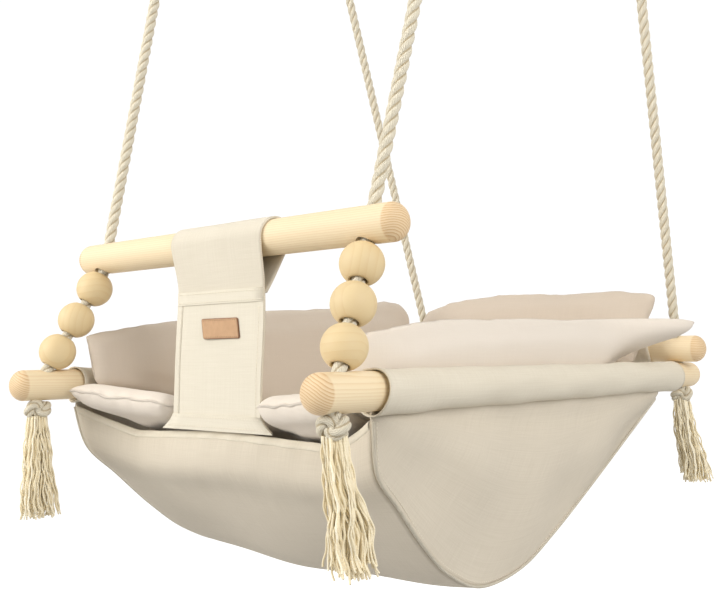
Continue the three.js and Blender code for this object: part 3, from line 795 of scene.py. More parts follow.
def drilled(mesh, holes):
    """Cuts round holes, given as (point, direction, radius), through a mesh."""
    piece = add_piece("drilled", mesh)
    bits = []
    for point, direction, radius in holes:
        outline = [(-BIT_REACH, 0), (-BIT_REACH, radius), (BIT_REACH, radius), (BIT_REACH, 0)]
        bit = add_piece("bit", turned(outline, point, direction, 32))
        bit.hide_render = True
        cut = piece.modifiers.new("hole", "BOOLEAN")
        cut.operation = "DIFFERENCE"
        cut.solver = "EXACT"
        cut.object = bit
        bits.append(bit)
    made = evaluated_mesh(piece)
    for bit in bits:
        bpy.data.objects.remove(bit)
    made.set_sharp_from_angle(angle=math.radians(38))
    return made


def mark_wood(mesh, centre, axis, shift, domes_from=None):
    """Keeps each point's place in the rod's own directions, and which points lie on the domed ends."""
    axis = axis.normalized()
    across = axis.orthogonal().normalized()
    directions = np.array([axis, across, axis.cross(across)])
    points = np.array([v.co for v in mesh.vertices]) - np.array(centre)
    own = points @ directions.T
    wood = mesh.attributes.new("wood", "FLOAT_VECTOR", "POINT")
    wood.data.foreach_set("vector", (own + np.array(shift)).astype(np.float32).ravel())
    ends = mesh.attributes.new("end_grain", "FLOAT", "POINT")
    past = np.zeros(len(own)) if domes_from is None else (np.abs(own[:, 0]) - domes_from) / 0.0006
    ends.data.foreach_set("value", np.clip(past, 0, 1).astype(np.float32))


def surface_group(name, inputs):
    """A shader group that makes a colour, a roughness and a height, and a way to ask for its inputs."""
    tree = bpy.data.node_groups.new(name, "ShaderNodeTree")
    trees.append(tree)
    for label, value in inputs.items():
        kind = "NodeSocketColor" if isinstance(value, tuple) else "NodeSocketFloat"
        tree.interface.new_socket(label, in_out="INPUT", socket_type=kind).default_value = value
    for label, kind in (("Colour", "Color"), ("Roughness", "Float"), ("Height", "Float")):
        tree.interface.new_socket(label, in_out="OUTPUT", socket_type="NodeSocket" + kind)
    entry = tree.nodes.new("NodeGroupInput")
    return lambda label: Flow(entry.outputs[label])


def use_group(shader, name, values, distance):
    """Places a group in a material and leads its colour, roughness and height to the shader."""
    made = put("ShaderNodeGroup", values, node_tree=bpy.data.node_groups[name])
    feed(shader, {"Base Color": Flow(made.outputs["Colour"]), "Roughness": Flow(made.outputs["Roughness"])})
    raise_surface(shader, Flow(made.outputs["Height"]), distance)


def stretched(place, scale):
    return flow("ShaderNodeMapping", {"Vector": place, "Scale": scale})


given = surface_group("pine_grain", {
    "Early Wood": srgb(241, 222, 186), "Late Wood": srgb(214, 168, 112), "End Wood": srgb(190, 142, 90),
    "Ring Width": 0.0019, "Contrast": 0.5})
wood_place = attribute("wood", "Vector")
along_rod, across, ahead = parts_of(wood_place)
from_pith = calc("SQRT", (along_rod * 0.012 + across) ** 2.0 + ahead ** 2.0)
wander = noise(1.0, 2.0, stretched(wood_place, (6.0, 60.0, 60.0)))
late = calc("FRACT", (wander * 0.0035 + from_pith) / given("Ring Width")) ** 3.0
fibres = noise(1.0, 3.0, stretched(wood_place, (14.0, 1400.0, 1400.0)))
streaked = late + (fibres * 0.22 - 0.06)
side_tone = mix(calc("MULTIPLY", streaked, given("Contrast"), clamp=True), given("Early Wood"),
                given("Late Wood"))
end_tone = mix(calc("MULTIPLY_ADD", late, 0.85, 0.12, clamp=True), given("Late Wood"), given("End Wood"))
end_share = calc("MULTIPLY", attribute("end_grain"), late * 0.55 + 0.30, clamp=True)
put("NodeGroupOutput", {"Colour": mix(end_share, side_tone, end_tone), "Roughness": streaked * -0.10 + 0.60,
                        "Height": streaked})

pine, shader = new_material("oiled_pine", 0.55)
use_group(shader, "pine_grain", {"Contrast": 0.30}, 0.00012)
feed(shader, {"Specular IOR Level": 0.35})


def rod(name, node, length, radius, centre, axis, holes, body, shift):
    mesh = drilled(turned(rod_outline(length, radius), centre, axis), holes)
    mark_wood(mesh, centre, axis, shift, length / 2 - DOME_DEPTH)
    mesh.materials.clear()
    add_piece(name, mesh, body, "pine", [node], pine)


PLAIN_FIT = ROPE_RADIUS + FIT_GAP
bar_holes = [(on_side(FRONT_HOLE, s), mirrored(front_direction, s), ROPE_RADIUS + BAR_PLAY) for _, s in SIDES]
rod("front_pine_bar", "front_bar", FRONT_BAR_LENGTH, BAR_RADIUS, BAR, X_AXIS, bar_holes, "safety_bar",
    (0.0, 0.021, 0.012))
back_holes = [(on_side(BACK_HOLE, s), mirrored(rear_direction, s), PLAIN_FIT) for _, s in SIDES]
back_middle = BAR + Vector((0, BACK_HOLE.y, BACK_HOLE.z))
rod("back_pine_bar", "back_bar", BACK_BAR_LENGTH, BAR_RADIUS, back_middle, X_AXIS, back_holes, "seat",
    (0.7, 0.018, 0.016))

rail_length = (RAIL_REAR - RAIL_FRONT).length + sum(RAIL_OVERHANGS)
rail_middle = RAIL_FRONT + rail_direction * (rail_length / 2 - RAIL_OVERHANGS[0])
for side, sign in SIDES:
    holes = [(on_side(RAIL_FRONT, sign), mirrored(bead_direction, sign), PLAIN_FIT),
             (on_side(RAIL_REAR, sign), mirrored(rear_direction, sign), PLAIN_FIT)]
    rod(f"{side}_pine_rail", f"side_rail_{side}", rail_length, RAIL_RADIUS, on_side(rail_middle, sign),
        mirrored(rail_direction, sign), holes, "seat", (1.3 + sign * 0.4, 0.020, -0.014))


# ---- Wooden beads ---------------------------------------------------------------------------------
# Six turned beech beads with a through bore, three on each front rope between the bar and the rail.
# Each was cut from another piece of wood, so the grain of each one runs its own way.

BEAD_RADIUS = 0.0172
BEAD_BORE = 0.007
BEADS_PER_SIDE = 3

bead_wood, shader = new_material("turned_beech", 0.5)
use_group(shader, "pine_grain", {"Early Wood": srgb(224, 201, 156), "Late Wood": srgb(205, 164, 110),
                                 "Ring Width": 0.0060, "Contrast": 0.18}, 0.00006)
feed(shader, {"Specular IOR Level": 0.4})

slant = math.sqrt(1 - bead_direction.dot(rail_direction) ** 2)
first_bead = BEAD_RADIUS + FIT_GAP + 0.0001
last_bead = (RAIL_FRONT - KINK).length - (BEAD_RADIUS + RAIL_RADIUS + FIT_GAP) / slant
bore_reach = math.acos(BEAD_BORE / BEAD_RADIUS)
bead_outline = [(BEAD_RADIUS * math.sin(a), BEAD_RADIUS * math.cos(a))
                for a in spread(-bore_reach, bore_reach, 28)]
lip = 0.0006
bead_end = BEAD_RADIUS * math.sin(bore_reach)
bead_outline = ([(-bead_end + 4 * lip, BEAD_BORE), (-bead_end + lip / 2, BEAD_BORE)] + bead_outline[1:-1]
                + [(bead_end - lip / 2, BEAD_BORE), (bead_end - 4 * lip, BEAD_BORE)])
bead_outline.append(bead_outline[0])
grain_ways = (Vector((1, 0.25, 0.1)), Vector((0.1, 0.2, 1)), Vector((0.6, 1, 0.3)))
for side, sign in SIDES:
    for i in range(BEADS_PER_SIDE):
        reach = first_bead + (last_bead - first_bead) * i / (BEADS_PER_SIDE - 1)
        centre = on_side(KINK + bead_direction * reach, sign)
        bead = turned(bead_outline, centre, mirrored(bead_direction, sign), 48)
        mark_wood(bead, centre, grain_ways[(i + (sign > 0)) % 3], (0.3 * i, 0.024 - 0.010 * (i == 1), 0.013))
        node = f"bead_{side}_{i + 1}"
        add_piece(f"{side}_beech_bead_{i + 1}", bead, node, "bead", [node], bead_wood)


# ---- Canvas seat ----------------------------------------------------------------------------------
# One length of beige cotton and linen canvas hangs from hem to back bar, and a side panel is sewn to
# each edge of it with a piped seam. The side panels hang from sleeves that are drawn over the rails.

CANVAS_THICK = 0.0014
SLEEVE_START = 0.0375
SLEEVE_LENGTH = 0.534
SLEEVE_WALL = 0.0014
SEAM_LEAN = 22 / 150
SEAM_TOP = -0.144
BAG_SAG = 0.008
FRONT_PULL = 0.031
FRONT_DROP = 0.024
STRAP_LIFT = 0.004
FRONT_SHARE = 0.3
SAG_SHARE = 0.85
NARROWS_FROM, NARROWS_TO = -0.185, -0.140
SEAT_HALF_WAY = 0.3
PANEL_EDGE = [(-0.020, -0.144), (-0.009, -0.184), (0.022, -0.213), (0.061, -0.248), (0.101, -0.276),
              (0.152, -0.294), (0.214, -0.288), (0.267, -0.264), (0.342, -0.220), (0.473, -0.138)]
BACK_EDGE = [(0.498, -0.124), (0.515, -0.109)]

given = surface_group("plain_weave", {
    "Thread Colour": srgb(224, 213, 194), "Gap Colour": srgb(186, 172, 148), "Threads Per Metre": 1300.0,
    "Slub": 0.35, "Cloud": 0.10})
cloth_place = flow("ShaderNodeUVMap", uv_map="UVMap")
thread_turn = given("Threads Per Metre") * math.pi
warp, weft = [calc("SINE", part * thread_turn) for part in parts_of(cloth_place)[:2]]
warp_slub, weft_slub, clouds = [noise(1.0, 2.0, stretched(cloth_place, scale)) for scale in
                                ((18.0, 900.0, 1.0), (900.0, 26.0, 1.0), (9.0, 9.0, 1.0))]
woven = warp * weft * 0.5 + 0.5
slubs = (warp_slub + weft_slub - 1.0) * given("Slub")
weave_light = calc("ADD", woven * 0.30 + 0.62, slubs + (clouds - 0.5) * given("Cloud"), clamp=True)
put("NodeGroupOutput", {"Colour": mix(weave_light, given("Gap Colour"), given("Thread Colour")),
                        "Roughness": woven * -0.08 + 0.96, "Height": woven + slubs * 1.5})


def woven_material(name, thread, gap, **more):
    material, shader = new_material(name, 0.95)
    values = {label.replace("_", " "): value for label, value in more.items()}
    use_group(shader, "plain_weave", {"Thread Colour": thread, "Gap Colour": gap, **values}, 0.00018)
    feed(shader, {"Sheen Weight": 0.08, "Sheen Roughness": 0.6, "Specular IOR Level": 0.15})
    return material


canvas = woven_material("beige_canvas", srgb(226, 216, 198), srgb(188, 175, 153))
hem_canvas = woven_material("hem_canvas", srgb(232, 224, 206), srgb(198, 184, 160))


def smooth_line(points, count):
    """A smooth curve through points, at evenly spaced places between the first and the last."""
    points = [np.array(p, float) for p in points]
    ends = [points[0]] + points + [points[-1]]
    spans = len(points) - 1
    made = []
    for place in spread(0, spans, count):
        i = min(int(place), spans - 1)
        t = place - i
        a, b, c, d = ends[i:i + 4]
        made.append(Vector(0.5 * (2 * b + (c - a) * t + (2 * a - 5 * b + 4 * c - d) * t * t
                                  + (3 * b - a - 3 * c + d) * t ** 3)))
    return made


def at_share(line, share):
    place = share * (len(line) - 1)
    i = min(int(place), len(line) - 2)
    return line[i] + (line[i + 1] - line[i]) * (place - i)


def rail_x(y):
    return RAIL_FRONT.x + rail_direction.x * (y - RAIL_FRONT.y) / rail_direction.y


def panel_x(y, z):
    return rail_x(y) - SEAM_LEAN * max(SEAM_TOP - z, 0)


def smoothstep(value, low, high):
    t = min(max((value - low) / (high - low), 0), 1)
    return t * t * (3 - 2 * t)


def hump(value, centre, width):
    return math.exp(-((value - centre) / width) ** 2)


def cloth_mesh(surface, steps_u, steps_v, size, flip=False, closed_v=False):
    """A sheet of surface(u, v) with its UV map in metres of cloth."""
    row = steps_v + (not closed_v)
    vertices = [surface(i / steps_u, j / steps_v) for i in range(steps_u + 1) for j in range(row)]
    way = -1 if flip else 1
    faces, places = [], []
    for i in range(steps_u):
        for j in range(steps_v):
            corners = [(i, j), (i + 1, j), (i + 1, j + 1), (i, j + 1)][::way]
            faces.append([a * row + b % row for a, b in corners])
            places += corners
    mesh = bpy.data.meshes.new("cloth")
    mesh.from_pydata(vertices, [], faces)
    mesh.shade_smooth()
    flat = np.array(places, float) / (steps_u, steps_v) * size
    mesh.uv_layers.new(name="UVMap").data.foreach_set("uv", flat.astype(np.float32).ravel())
    return mesh


def thicken(piece, thickness, offset=0.0):
    wall = piece.modifiers.new("thickness", "SOLIDIFY")
    wall.thickness = thickness
    wall.offset = offset


def cloth_piece(name, mesh, material, body, slot, replaces=(), thickness=CANVAS_THICK, offset=0.0):
    piece = add_piece(name, mesh, body, slot, replaces, material)
    thicken(piece, thickness, offset)
    return piece


panel_line = smooth_line(PANEL_EDGE + BACK_EDGE, 240)
SLEEVE_GAP = 0.006
SIDE_OVERLAP = 0.0006


def main_surface(u, v):
    y, z = at_share(panel_line, u)
    across = 2 * v - 1
    bow = 1 - across * across
    front = max(0, 1 - u / FRONT_SHARE) ** 2
    slack = min(1, 1.8 * bow)
    sag = math.sin(math.pi * min(u / SAG_SHARE, 1))
    behind = smoothstep(z, NARROWS_FROM, NARROWS_TO) if y > SEAT_HALF_WAY else 0
    edge_x = panel_x(y, z) - SIDE_OVERLAP
    narrow_x = rail_x(y) - RAIL_RADIUS - SLEEVE_WALL - SLEEVE_GAP
    half_width = edge_x + (narrow_x - edge_x) * behind
    x = half_width * across
    ripple = bow * (0.0016 * math.sin(34 * across + 9 * u) * front + 0.0022 * math.sin(5.2 * across + 14 * u))
    return BAR + Vector((x, y + FRONT_PULL * slack * front - 0.6 * ripple * front,
                         z - BAG_SAG * bow * sag - (FRONT_DROP * slack - STRAP_LIFT * bow ** 4) * front
                         + ripple * (1 - front)))


MAIN_PANEL_SIZE = (0.74, 0.37)
mesh = cloth_mesh(main_surface, 130, 72, MAIN_PANEL_SIZE, flip=True)
main_panel = cloth_piece("seat_canvas", mesh, canvas, "seat", "canvas", ["main_panel"])

panel_top_front = Vector(PANEL_EDGE[0])
panel_top_back = Vector(PANEL_EDGE[-1])
side_edge_line = smooth_line(PANEL_EDGE, 200)


def side_surface(sign):
    def surface(u, v):
        foot = Vector(at_share(side_edge_line, u))
        head = panel_top_front.lerp(panel_top_back, u) + Vector((0, 0.006))
        y, z = head.lerp(foot, v)
        from_corner = math.hypot(y + 0.02, z + 0.144)
        hang = math.sin(math.pi * u) * math.sin(math.pi * min(v, 1))
        fan = 0.0022 * math.sin(from_corner * 52 + 1.2 * u) * smoothstep(u, 0, 0.2)
        slant = 0.0014 * math.sin(34 * y + 46 * z)
        folds = (0.0040 * hang + 0.0030 * hump(v, 0.42, 0.16) * math.sin(math.pi * u)
                 + (fan + slant) * math.sin(math.pi * v))
        hollow = -0.0045 * hump(v, 0.10, 0.10) * math.sin(math.pi * u)
        return BAR + Vector((sign * (panel_x(y, z) + folds + hollow), y, z))
    return surface


SIDE_PANEL_SIZE = (0.493, 0.150)
side_panels = []
for side, sign in SIDES:
    mesh = cloth_mesh(side_surface(sign), 110, 40, SIDE_PANEL_SIZE, flip=sign > 0)
    side_panels.append(cloth_piece(f"{side}_side_canvas", mesh, canvas, "seat", "canvas",
                                   [f"side_panel_{side}"]))


FRONT_MOUTH_RUN = 0.022
REAR_MOUTH_RUN = 0.03
SLEEVE_SLACK = 0.0016
MOUTH_SKEW = 0.0016


def tunnel_surface(start, direction, length, bore, mouth, phase):
    """A sleeve round a rod: snug on top, loose below where it is sewn, and open at its mouths."""
    across = direction.cross(-Z_AXIS)

    def surface(u, v):
        a = v * math.tau
        down = max(0.0, math.cos(a)) ** 3
        opening = 0.45 + 1.1 * max(0.0, -math.sin(a))
        flare = opening * mouth * (math.exp(-u * length / FRONT_MOUTH_RUN)
                                   + 0.5 * math.exp(-(1 - u) * length / REAR_MOUTH_RUN))
        crease = (0.00035 * math.sin(3 * a + 21 * u + phase) + 0.00030 * math.sin(2 * a - 47 * u)
                  + 0.00045 * hump(math.sin(a * 0.5 - 7 * u + phase), 0, 0.25))
        radius = bore + flare + crease + SLEEVE_SLACK * down
        along = direction * (u * length + MOUTH_SKEW * math.sin(2 * a + phase) * (1 - 2 * u))
        return start + along + radius * (math.sin(a) * across - math.cos(a) * Z_AXIS)
    return surface


rail_sleeves = []
for side, sign in SIDES:
    start = on_side(RAIL_FRONT + rail_direction * SLEEVE_START, sign)
    direction = mirrored(rail_direction, sign)
    surface = tunnel_surface(start, direction, SLEEVE_LENGTH, RAIL_RADIUS + 0.0010, 0.0027, 0.7 * sign)
    size = (SLEEVE_LENGTH, math.tau * RAIL_RADIUS * 1.12)
    mesh = cloth_mesh(surface, 130, 56, size, closed_v=True)
    rail_sleeves.append(cloth_piece(f"{side}_rail_tunnel", mesh, hem_canvas, "seat", "canvas",
                                    [f"rail_sleeve_{side}"], SLEEVE_WALL, 1.0))

BACK_SLEEVE_LENGTH = 0.300
surface = tunnel_surface(back_middle - X_AXIS * BACK_SLEEVE_LENGTH / 2, X_AXIS, BACK_SLEEVE_LENGTH,
                         BAR_RADIUS + 0.0008, 0.0006, 0.4)
mesh = cloth_mesh(surface, 80, 56, (BACK_SLEEVE_LENGTH, math.tau * BAR_RADIUS * 1.1), closed_v=True)
back_sleeve = cloth_piece("back_bar_tunnel", mesh, canvas, "seat", "canvas", ["back_sleeve"], SLEEVE_WALL,
                          1.0)

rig.sheet(main_panel, flat=MAIN_PANEL_SIZE, held="hung",
         rests_on=["side_rail_left", "side_rail_right", "back_bar"])
for (side, _), panel, sleeve in zip(SIDES, side_panels, rail_sleeves):
    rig.sheet(panel, flat=SIDE_PANEL_SIZE, held="hung", rests_on=[f"side_rail_{side}"], area=0.0470)
    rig.sheet(sleeve, flat=(SLEEVE_LENGTH, 0.104), held="stretched", rests_on=[f"side_rail_{side}"])
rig.sheet(back_sleeve, flat=(BACK_SLEEVE_LENGTH, 0.104), held="stretched", rests_on=["back_bar"])


# ---- Hem, piped seams and stitching of the seat ---------------------------------------------------
# The front edge is turned over twice into a stiff hem. Each side seam has a round ivory piping, and the
# hem and the seams are topstitched in cotton thread.

PIPING_RADIUS = 0.0013
STITCH_SPACING = 0.0034
STITCH_HALF = 0.0012
THREAD_RADIUS = 0.00034

stitch_tree, given = open_tree("stitch_row", {"Spacing": "Float", "Half Length": "Float", "Thread": "Float"})
places = flow("GeometryNodeResampleCurve", {"Curve": given_curve(), "Length": given("Spacing")},
              mode="LENGTH")
stitches = flow("GeometryNodeInstanceOnPoints", {
    "Points": places,
    "Instance": flow("GeometryNodeMeshUVSphere", {"Segments": 6, "Rings": 4, "Radius": 1.0}, "Mesh"),
    "Rotation": flow("FunctionNodeAlignRotationToVector", {"Vector": flow("GeometryNodeInputTangent")},
                     "Rotation", axis="Z"),
    "Scale": xyz(given("Thread"), given("Thread"), given("Half Length"))})
close_tree(stitches, given("Material"))


def thread_material(name, roughness, dark, light):
    material, shader = new_material(name, roughness)
    fuzz = noise(1800.0, 1.0)
    feed(shader, {"Base Color": mix(fuzz, dark, light)})
    raise_surface(shader, fuzz, 0.0001)
    return material


thread = thread_material("cotton_thread", 0.8, srgb(226, 214, 190), srgb(252, 246, 232))


def sewn_cord(line, closed, radius, sides, material):
    """A round cord of cloth along a line."""
    skin = grow(wire_tree, line_mesh(line, closed), Radius=radius, Sides=sides, Material=material)
    if "UVMap" not in skin.uv_layers:
        skin.uv_layers.new(name="UVMap")
    return skin


def stitch_row(lines, material=thread, spacing=STITCH_SPACING, half=STITCH_HALF, radius=THREAD_RADIUS):
    return join_meshes([grow(stitch_tree, line_mesh(line), Spacing=spacing, Thread=radius, Material=material,
                             **{"Half Length": half}) for line in lines])


HEM_HEIGHT = 0.0066
HEM_THICK = 0.0034
HEM_STEPS = 150
HEM_STITCH_DROP = 0.0045


def hem_frame(v):
    """The hem's edge point, the way down the cloth and the way out of it."""
    edge = main_surface(0, v)
    down = towards(edge, main_surface(0.02, v))
    along = towards(main_surface(0, max(v - 0.005, 0)), main_surface(0, min(v + 0.005, 1)))
    return edge, down, along.cross(down).normalized()


def squared(value):
    """Makes a round section flatter on its sides."""
    return math.copysign(abs(value) ** 0.8, value)


def hem_surface(u, v):
    edge, down, out = hem_frame(0.004 + 0.992 * u)
    a = v * math.tau
    roll = HEM_THICK / 2 * (1 + 0.12 * math.sin(90 * u) + 0.1 * math.sin(41 * u + 1))
    return (edge + down * (HEM_HEIGHT / 2 * (1 - 1.16 * squared(math.cos(a))))
            + out * (roll * squared(math.sin(a))))


mesh = cloth_mesh(hem_surface, HEM_STEPS, 20, (0.39, 0.024), closed_v=True)
add_piece("front_hem", mesh, "seat", "canvas", (), hem_canvas)

hem_row = []
for v in spread(0.02, 0.98, 160):
    edge, down, out = hem_frame(v)
    hem_row.append(edge + down * HEM_STITCH_DROP + out * (HEM_THICK / 2 - 0.0002))
add_piece("hem_stitches", stitch_row([hem_row]), "seat", "canvas")
for side, sign in SIDES:
    seam = [BAR + Vector((sign * (panel_x(y, z) + 0.0016), y, z + 0.0006)) for y, z in side_edge_line[2:-2]]
    piping = sewn_cord(seam, False, PIPING_RADIUS, 10, hem_canvas)
    add_piece(f"{side}_side_piping", piping, "seat", "strap_canvas", [f"seam_piping_{side}"])
    sewn = []
    for share in spread(0.02, 0.97, 220):
        y, z = at_share(side_edge_line, share)
        head = panel_top_front.lerp(panel_top_back, share)
        inward = (Vector((head.x - y, head.y - z))).normalized() * 0.0048
        sewn.append(BAR + Vector((sign * (panel_x(y, z) + 0.0014), y + inward.x, z + inward.y)))
    add_piece(f"{side}_seam_stitches", stitch_row([sewn]), "seat", "canvas")


# ---- Crotch strap ---------------------------------------------------------------------------------
# A folded band of ivory cotton twill. It loops over the front bar, is sewn to itself below it, and its
# flared foot is sewn over the hem. It bends between the seat and the bar when the bar is pushed up.

STRAP_WIDTH = 0.118
STRAP_CENTRE = 0.011
STRAP_LEAN = 0.13
STRAP_THICK = 0.0018
STRAP_FOOT = Vector((0.0052, -0.1615))
STRAP_SEAM_Z = -0.042
STRAP_BAND = 0.013
STRAP_FLARE = 0.013
WAIST_ABOVE = 0.030
WAIST_BELOW = 0.075
LEFT_WAIST = 0.011
RIGHT_PUSH = 0.005
LOOP_OUT = BAR_RADIUS + FIT_GAP + 0.0010

strap_canvas = woven_material("ivory_twill", srgb(239, 232, 215), srgb(207, 196, 173), Slub=0.30)
# Painted shade: a darker copy of the ivory twill, for the parts of the strap that lie in shade under the bar.
strap_shade = woven_material("beige_strap_canvas", srgb(229, 221, 204), srgb(198, 187, 164), Slub=0.34)

foot_reach = STRAP_FOOT.length
touch = math.atan2(STRAP_FOOT.y, STRAP_FOOT.x) - math.acos(LOOP_OUT / foot_reach)
touch_point = LOOP_OUT * Vector((math.cos(touch), math.sin(touch)))
ply_direction = (touch_point - STRAP_FOOT).normalized()


def ply_y(z, groove_shade=0.0):
    """Where the front ply stands at a height, and a point that far behind it."""
    return STRAP_FOOT.x + ply_direction.x * (z - STRAP_FOOT.y) / ply_direction.y + groove_shade


back_joint = Vector((ply_y(STRAP_SEAM_Z, 0.0026), STRAP_SEAM_Z - 0.004))
leave = math.atan2(back_joint.y, back_joint.x) + math.acos(LOOP_OUT / back_joint.length)
over_angle = leave - touch - math.tau
front_ply = [STRAP_FOOT.lerp(touch_point, t) for t in spread(0, 1, 60)]
over_bar = [LOOP_OUT * Vector((math.cos(a), math.sin(a))) for a in spread(touch, touch + over_angle, 40)]
back_ply = [over_bar[-1].lerp(back_joint, t) for t in spread(0, 1, 16)]
strap_path = front_ply + over_bar[1:] + back_ply[1:]
strap_steps = len(strap_path) - 1
strap_length = line_length(strap_path)


def strap_edges(z):
    """The left and right edges of the strap at a height, flared at the foot band."""
    above = z - STRAP_FOOT.y
    flare = STRAP_FLARE * max(0, 1 - above / STRAP_BAND) ** 1.5
    waist = hump(z, STRAP_SEAM_Z, WAIST_ABOVE if z > STRAP_SEAM_Z else WAIST_BELOW)
    middle_x = STRAP_CENTRE + STRAP_LEAN * z
    return (middle_x - STRAP_WIDTH / 2 - flare + LEFT_WAIST * waist,
            middle_x + STRAP_WIDTH / 2 + flare + RIGHT_PUSH * waist)


def strap_point(y, z, v, out=0.0):
    left, right = strap_edges(z)
    soft = 0.0009 * math.sin(math.pi * v) * math.sin(26 * z + 2.4) + 0.0005 * math.sin(9 * v + 60 * z)
    return BAR + Vector((left + (right - left) * v, y - soft - out, z))


def strap_surface(u, v):
    place = u * strap_steps
    i = min(int(place), strap_steps - 1)
    y, z = strap_path[i].lerp(strap_path[i + 1], place - i)
    return strap_point(y, z, v)


def bar_blend(piece):
    """The strap follows the seat at its foot and the bar from its cross seam up."""
    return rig.blend(piece, "seat", "safety_bar", start=BAR + Vector((0, 0, -0.150)),
                    end=BAR + Vector((0, 0, STRAP_SEAM_Z)))


mesh = cloth_mesh(strap_surface, strap_steps, 40, (strap_length, STRAP_WIDTH))
mesh.materials.append(strap_canvas)
mesh.materials.append(strap_shade)
# Painted shade: the loop above the cross seam and the back ply behind the front ply take the darker copy of the twill.
for polygon in mesh.polygons:
    _, y, z = polygon.center - BAR
    polygon.material_index = int(z > STRAP_SEAM_Z or y > ply_y(z, 0.0014))
strap = add_piece("looped_strap", mesh, None, "strap_canvas", ["crotch_strap"])
thicken(strap, STRAP_THICK)
bar_blend(strap)
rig.sheet(strap, flat=(STRAP_WIDTH, 0.30), held="hung", rests_on=["front_bar"])


def strap_band(name, low, high, first, last, lift):
    """A folded edge or cross band lying on the strap's front, as a thin sheet of its own."""
    def surface(u, v):
        z = low + (high - low) * u
        return strap_point(ply_y(z), z, first + (last - first) * v, lift)

    mesh = cloth_mesh(surface, 60, 8, (high - low, (last - first) * STRAP_WIDTH))
    band = add_piece(name, mesh, None, "strap_canvas", (), strap_canvas)
    thicken(band, 0.0005)
    bar_blend(band)


for name, low, high, first, last, lift in (
        ("strap_left_fold", STRAP_FOOT.y + 0.002, STRAP_SEAM_Z, 0.0, 0.062, 0.0011),
        ("strap_right_fold", STRAP_FOOT.y + 0.002, STRAP_SEAM_Z, 0.938, 1.0, 0.0011),
        ("strap_foot_fold", STRAP_FOOT.y - 0.001, STRAP_FOOT.y + STRAP_BAND, -0.004, 1.004, 0.0016),
        ("strap_cross_fold", STRAP_SEAM_Z - 0.011, STRAP_SEAM_Z + 0.0005, 0.004, 0.996, 0.0015)):
    strap_band(name, low, high, first, last, lift)

SIDE_ROWS = (0.050, 0.950)
CROSS_ROWS = ((STRAP_FOOT.y + 0.0025, 0.0021), (STRAP_FOOT.y + STRAP_BAND - 0.0022, 0.0021),
              (STRAP_SEAM_Z - 0.0016, 0.0020), (STRAP_SEAM_Z - 0.0092, 0.0020))
rows = [[strap_point(ply_y(z), z, share, 0.0015) for z in spread(STRAP_FOOT.y + 0.014, -0.058, 60)]
        for share in SIDE_ROWS]
rows += [[strap_point(ply_y(z), z, share, lift) for share in spread(0.03, 0.97, 60)]
         for z, lift in CROSS_ROWS]
bar_blend(add_piece("strap_stitches", stitch_row(rows), None, "strap_canvas"))


# ---- Leather label --------------------------------------------------------------------------------
# A blank tab of tan leather with darkened cut edges, sewn to the strap along its top and bottom.

LABEL_LENGTH = 0.0475
LABEL_HEIGHT = 0.0176
LABEL_THICK = 0.0014
LABEL_CORNER = 0.0022
LABEL_ROW_HALF = 0.0205
LABEL_ROW_DROP = 0.0070
LABEL_X = 0.012
LABEL_Z = -0.074

given = surface_group("leather_grain", {"Face": srgb(203, 162, 122), "Edge": srgb(122, 82, 52)})
hide_place = flow("ShaderNodeTexCoord", output="Object")
cells = flow("ShaderNodeTexVoronoi", {"Vector": hide_place, "Scale": 1500.0}, "Distance",
             feature="DISTANCE_TO_EDGE")
mottle = noise(220.0, 3.0, hide_place)
dark = calc("ADD", attribute("rim"), mottle * 0.36 - 0.14, clamp=True)
put("NodeGroupOutput", {"Colour": mix(dark, given("Face"), given("Edge")), "Roughness": mottle * 0.2 + 0.45,
                        "Height": calc("MULTIPLY", cells, 3.0, clamp=True)})
leather, shader = new_material("tan_leather", 0.55)
use_group(shader, "leather_grain", {}, 0.00012)


def label_point(x, z, out):
    return BAR + Vector((LABEL_X + x, ply_y(LABEL_Z + z) - 0.0016 - out, LABEL_Z + z))


def label_mesh():
    """A slab with rounded corners and edges, its rim marked for the darker cut edge."""
    steps_x, steps_z = 56, 24
    vertices, rims = [], []
    for layer in (0, 1):
        for i in range(steps_x + 1):
            for j in range(steps_z + 1):
                x = (i / steps_x - 0.5) * LABEL_LENGTH
                z = (j / steps_z - 0.5) * LABEL_HEIGHT
                inner_x = max(abs(x) - (LABEL_LENGTH / 2 - LABEL_CORNER), 0)
                inner_z = max(abs(z) - (LABEL_HEIGHT / 2 - LABEL_CORNER), 0)
                reach = math.hypot(inner_x, inner_z)
                pull = LABEL_CORNER / reach if reach > LABEL_CORNER else 1
                x -= math.copysign(inner_x * (1 - pull), x)
                z -= math.copysign(inner_z * (1 - pull), z)
                edge = min(LABEL_LENGTH / 2 - abs(x), LABEL_HEIGHT / 2 - abs(z), max(LABEL_CORNER - reach, 0)
                           if reach > 0 else 1)
                round_off = 0.0005 * max(0, 1 - edge / 0.0007) ** 2
                vertices.append(label_point(x, z, (LABEL_THICK - round_off) if layer else 0.0))
                rims.append(max(0.0, 1 - edge / 0.0014))
    row = steps_z + 1
    offset = row * (steps_x + 1)
    faces = []
    for a in (i * row + j for i in range(steps_x) for j in range(steps_z)):
        faces.append((a, a + 1, a + row + 1, a + row))
        faces.append((offset + a, offset + a + row, offset + a + row + 1, offset + a + 1))
    rim = ([(i, 0) for i in range(steps_x)] + [(steps_x, j) for j in range(steps_z)]
           + [(i, steps_z) for i in range(steps_x, 0, -1)] + [(0, j) for j in range(steps_z, 0, -1)])
    round_rim = [i * row + j for i, j in rim]
    for a, b in zip(round_rim, round_rim[1:] + round_rim[:1]):
        faces.append((a, b, offset + b, offset + a))
    mesh = bpy.data.meshes.new("label")
    mesh.from_pydata(vertices, [], faces)
    mesh.shade_smooth()
    mesh.attributes.new("rim", "FLOAT", "POINT").data.foreach_set("value", rims)
    return mesh


bar_blend(add_piece("blank_leather_tab", label_mesh(), None, "leather", ["leather_label"], leather))

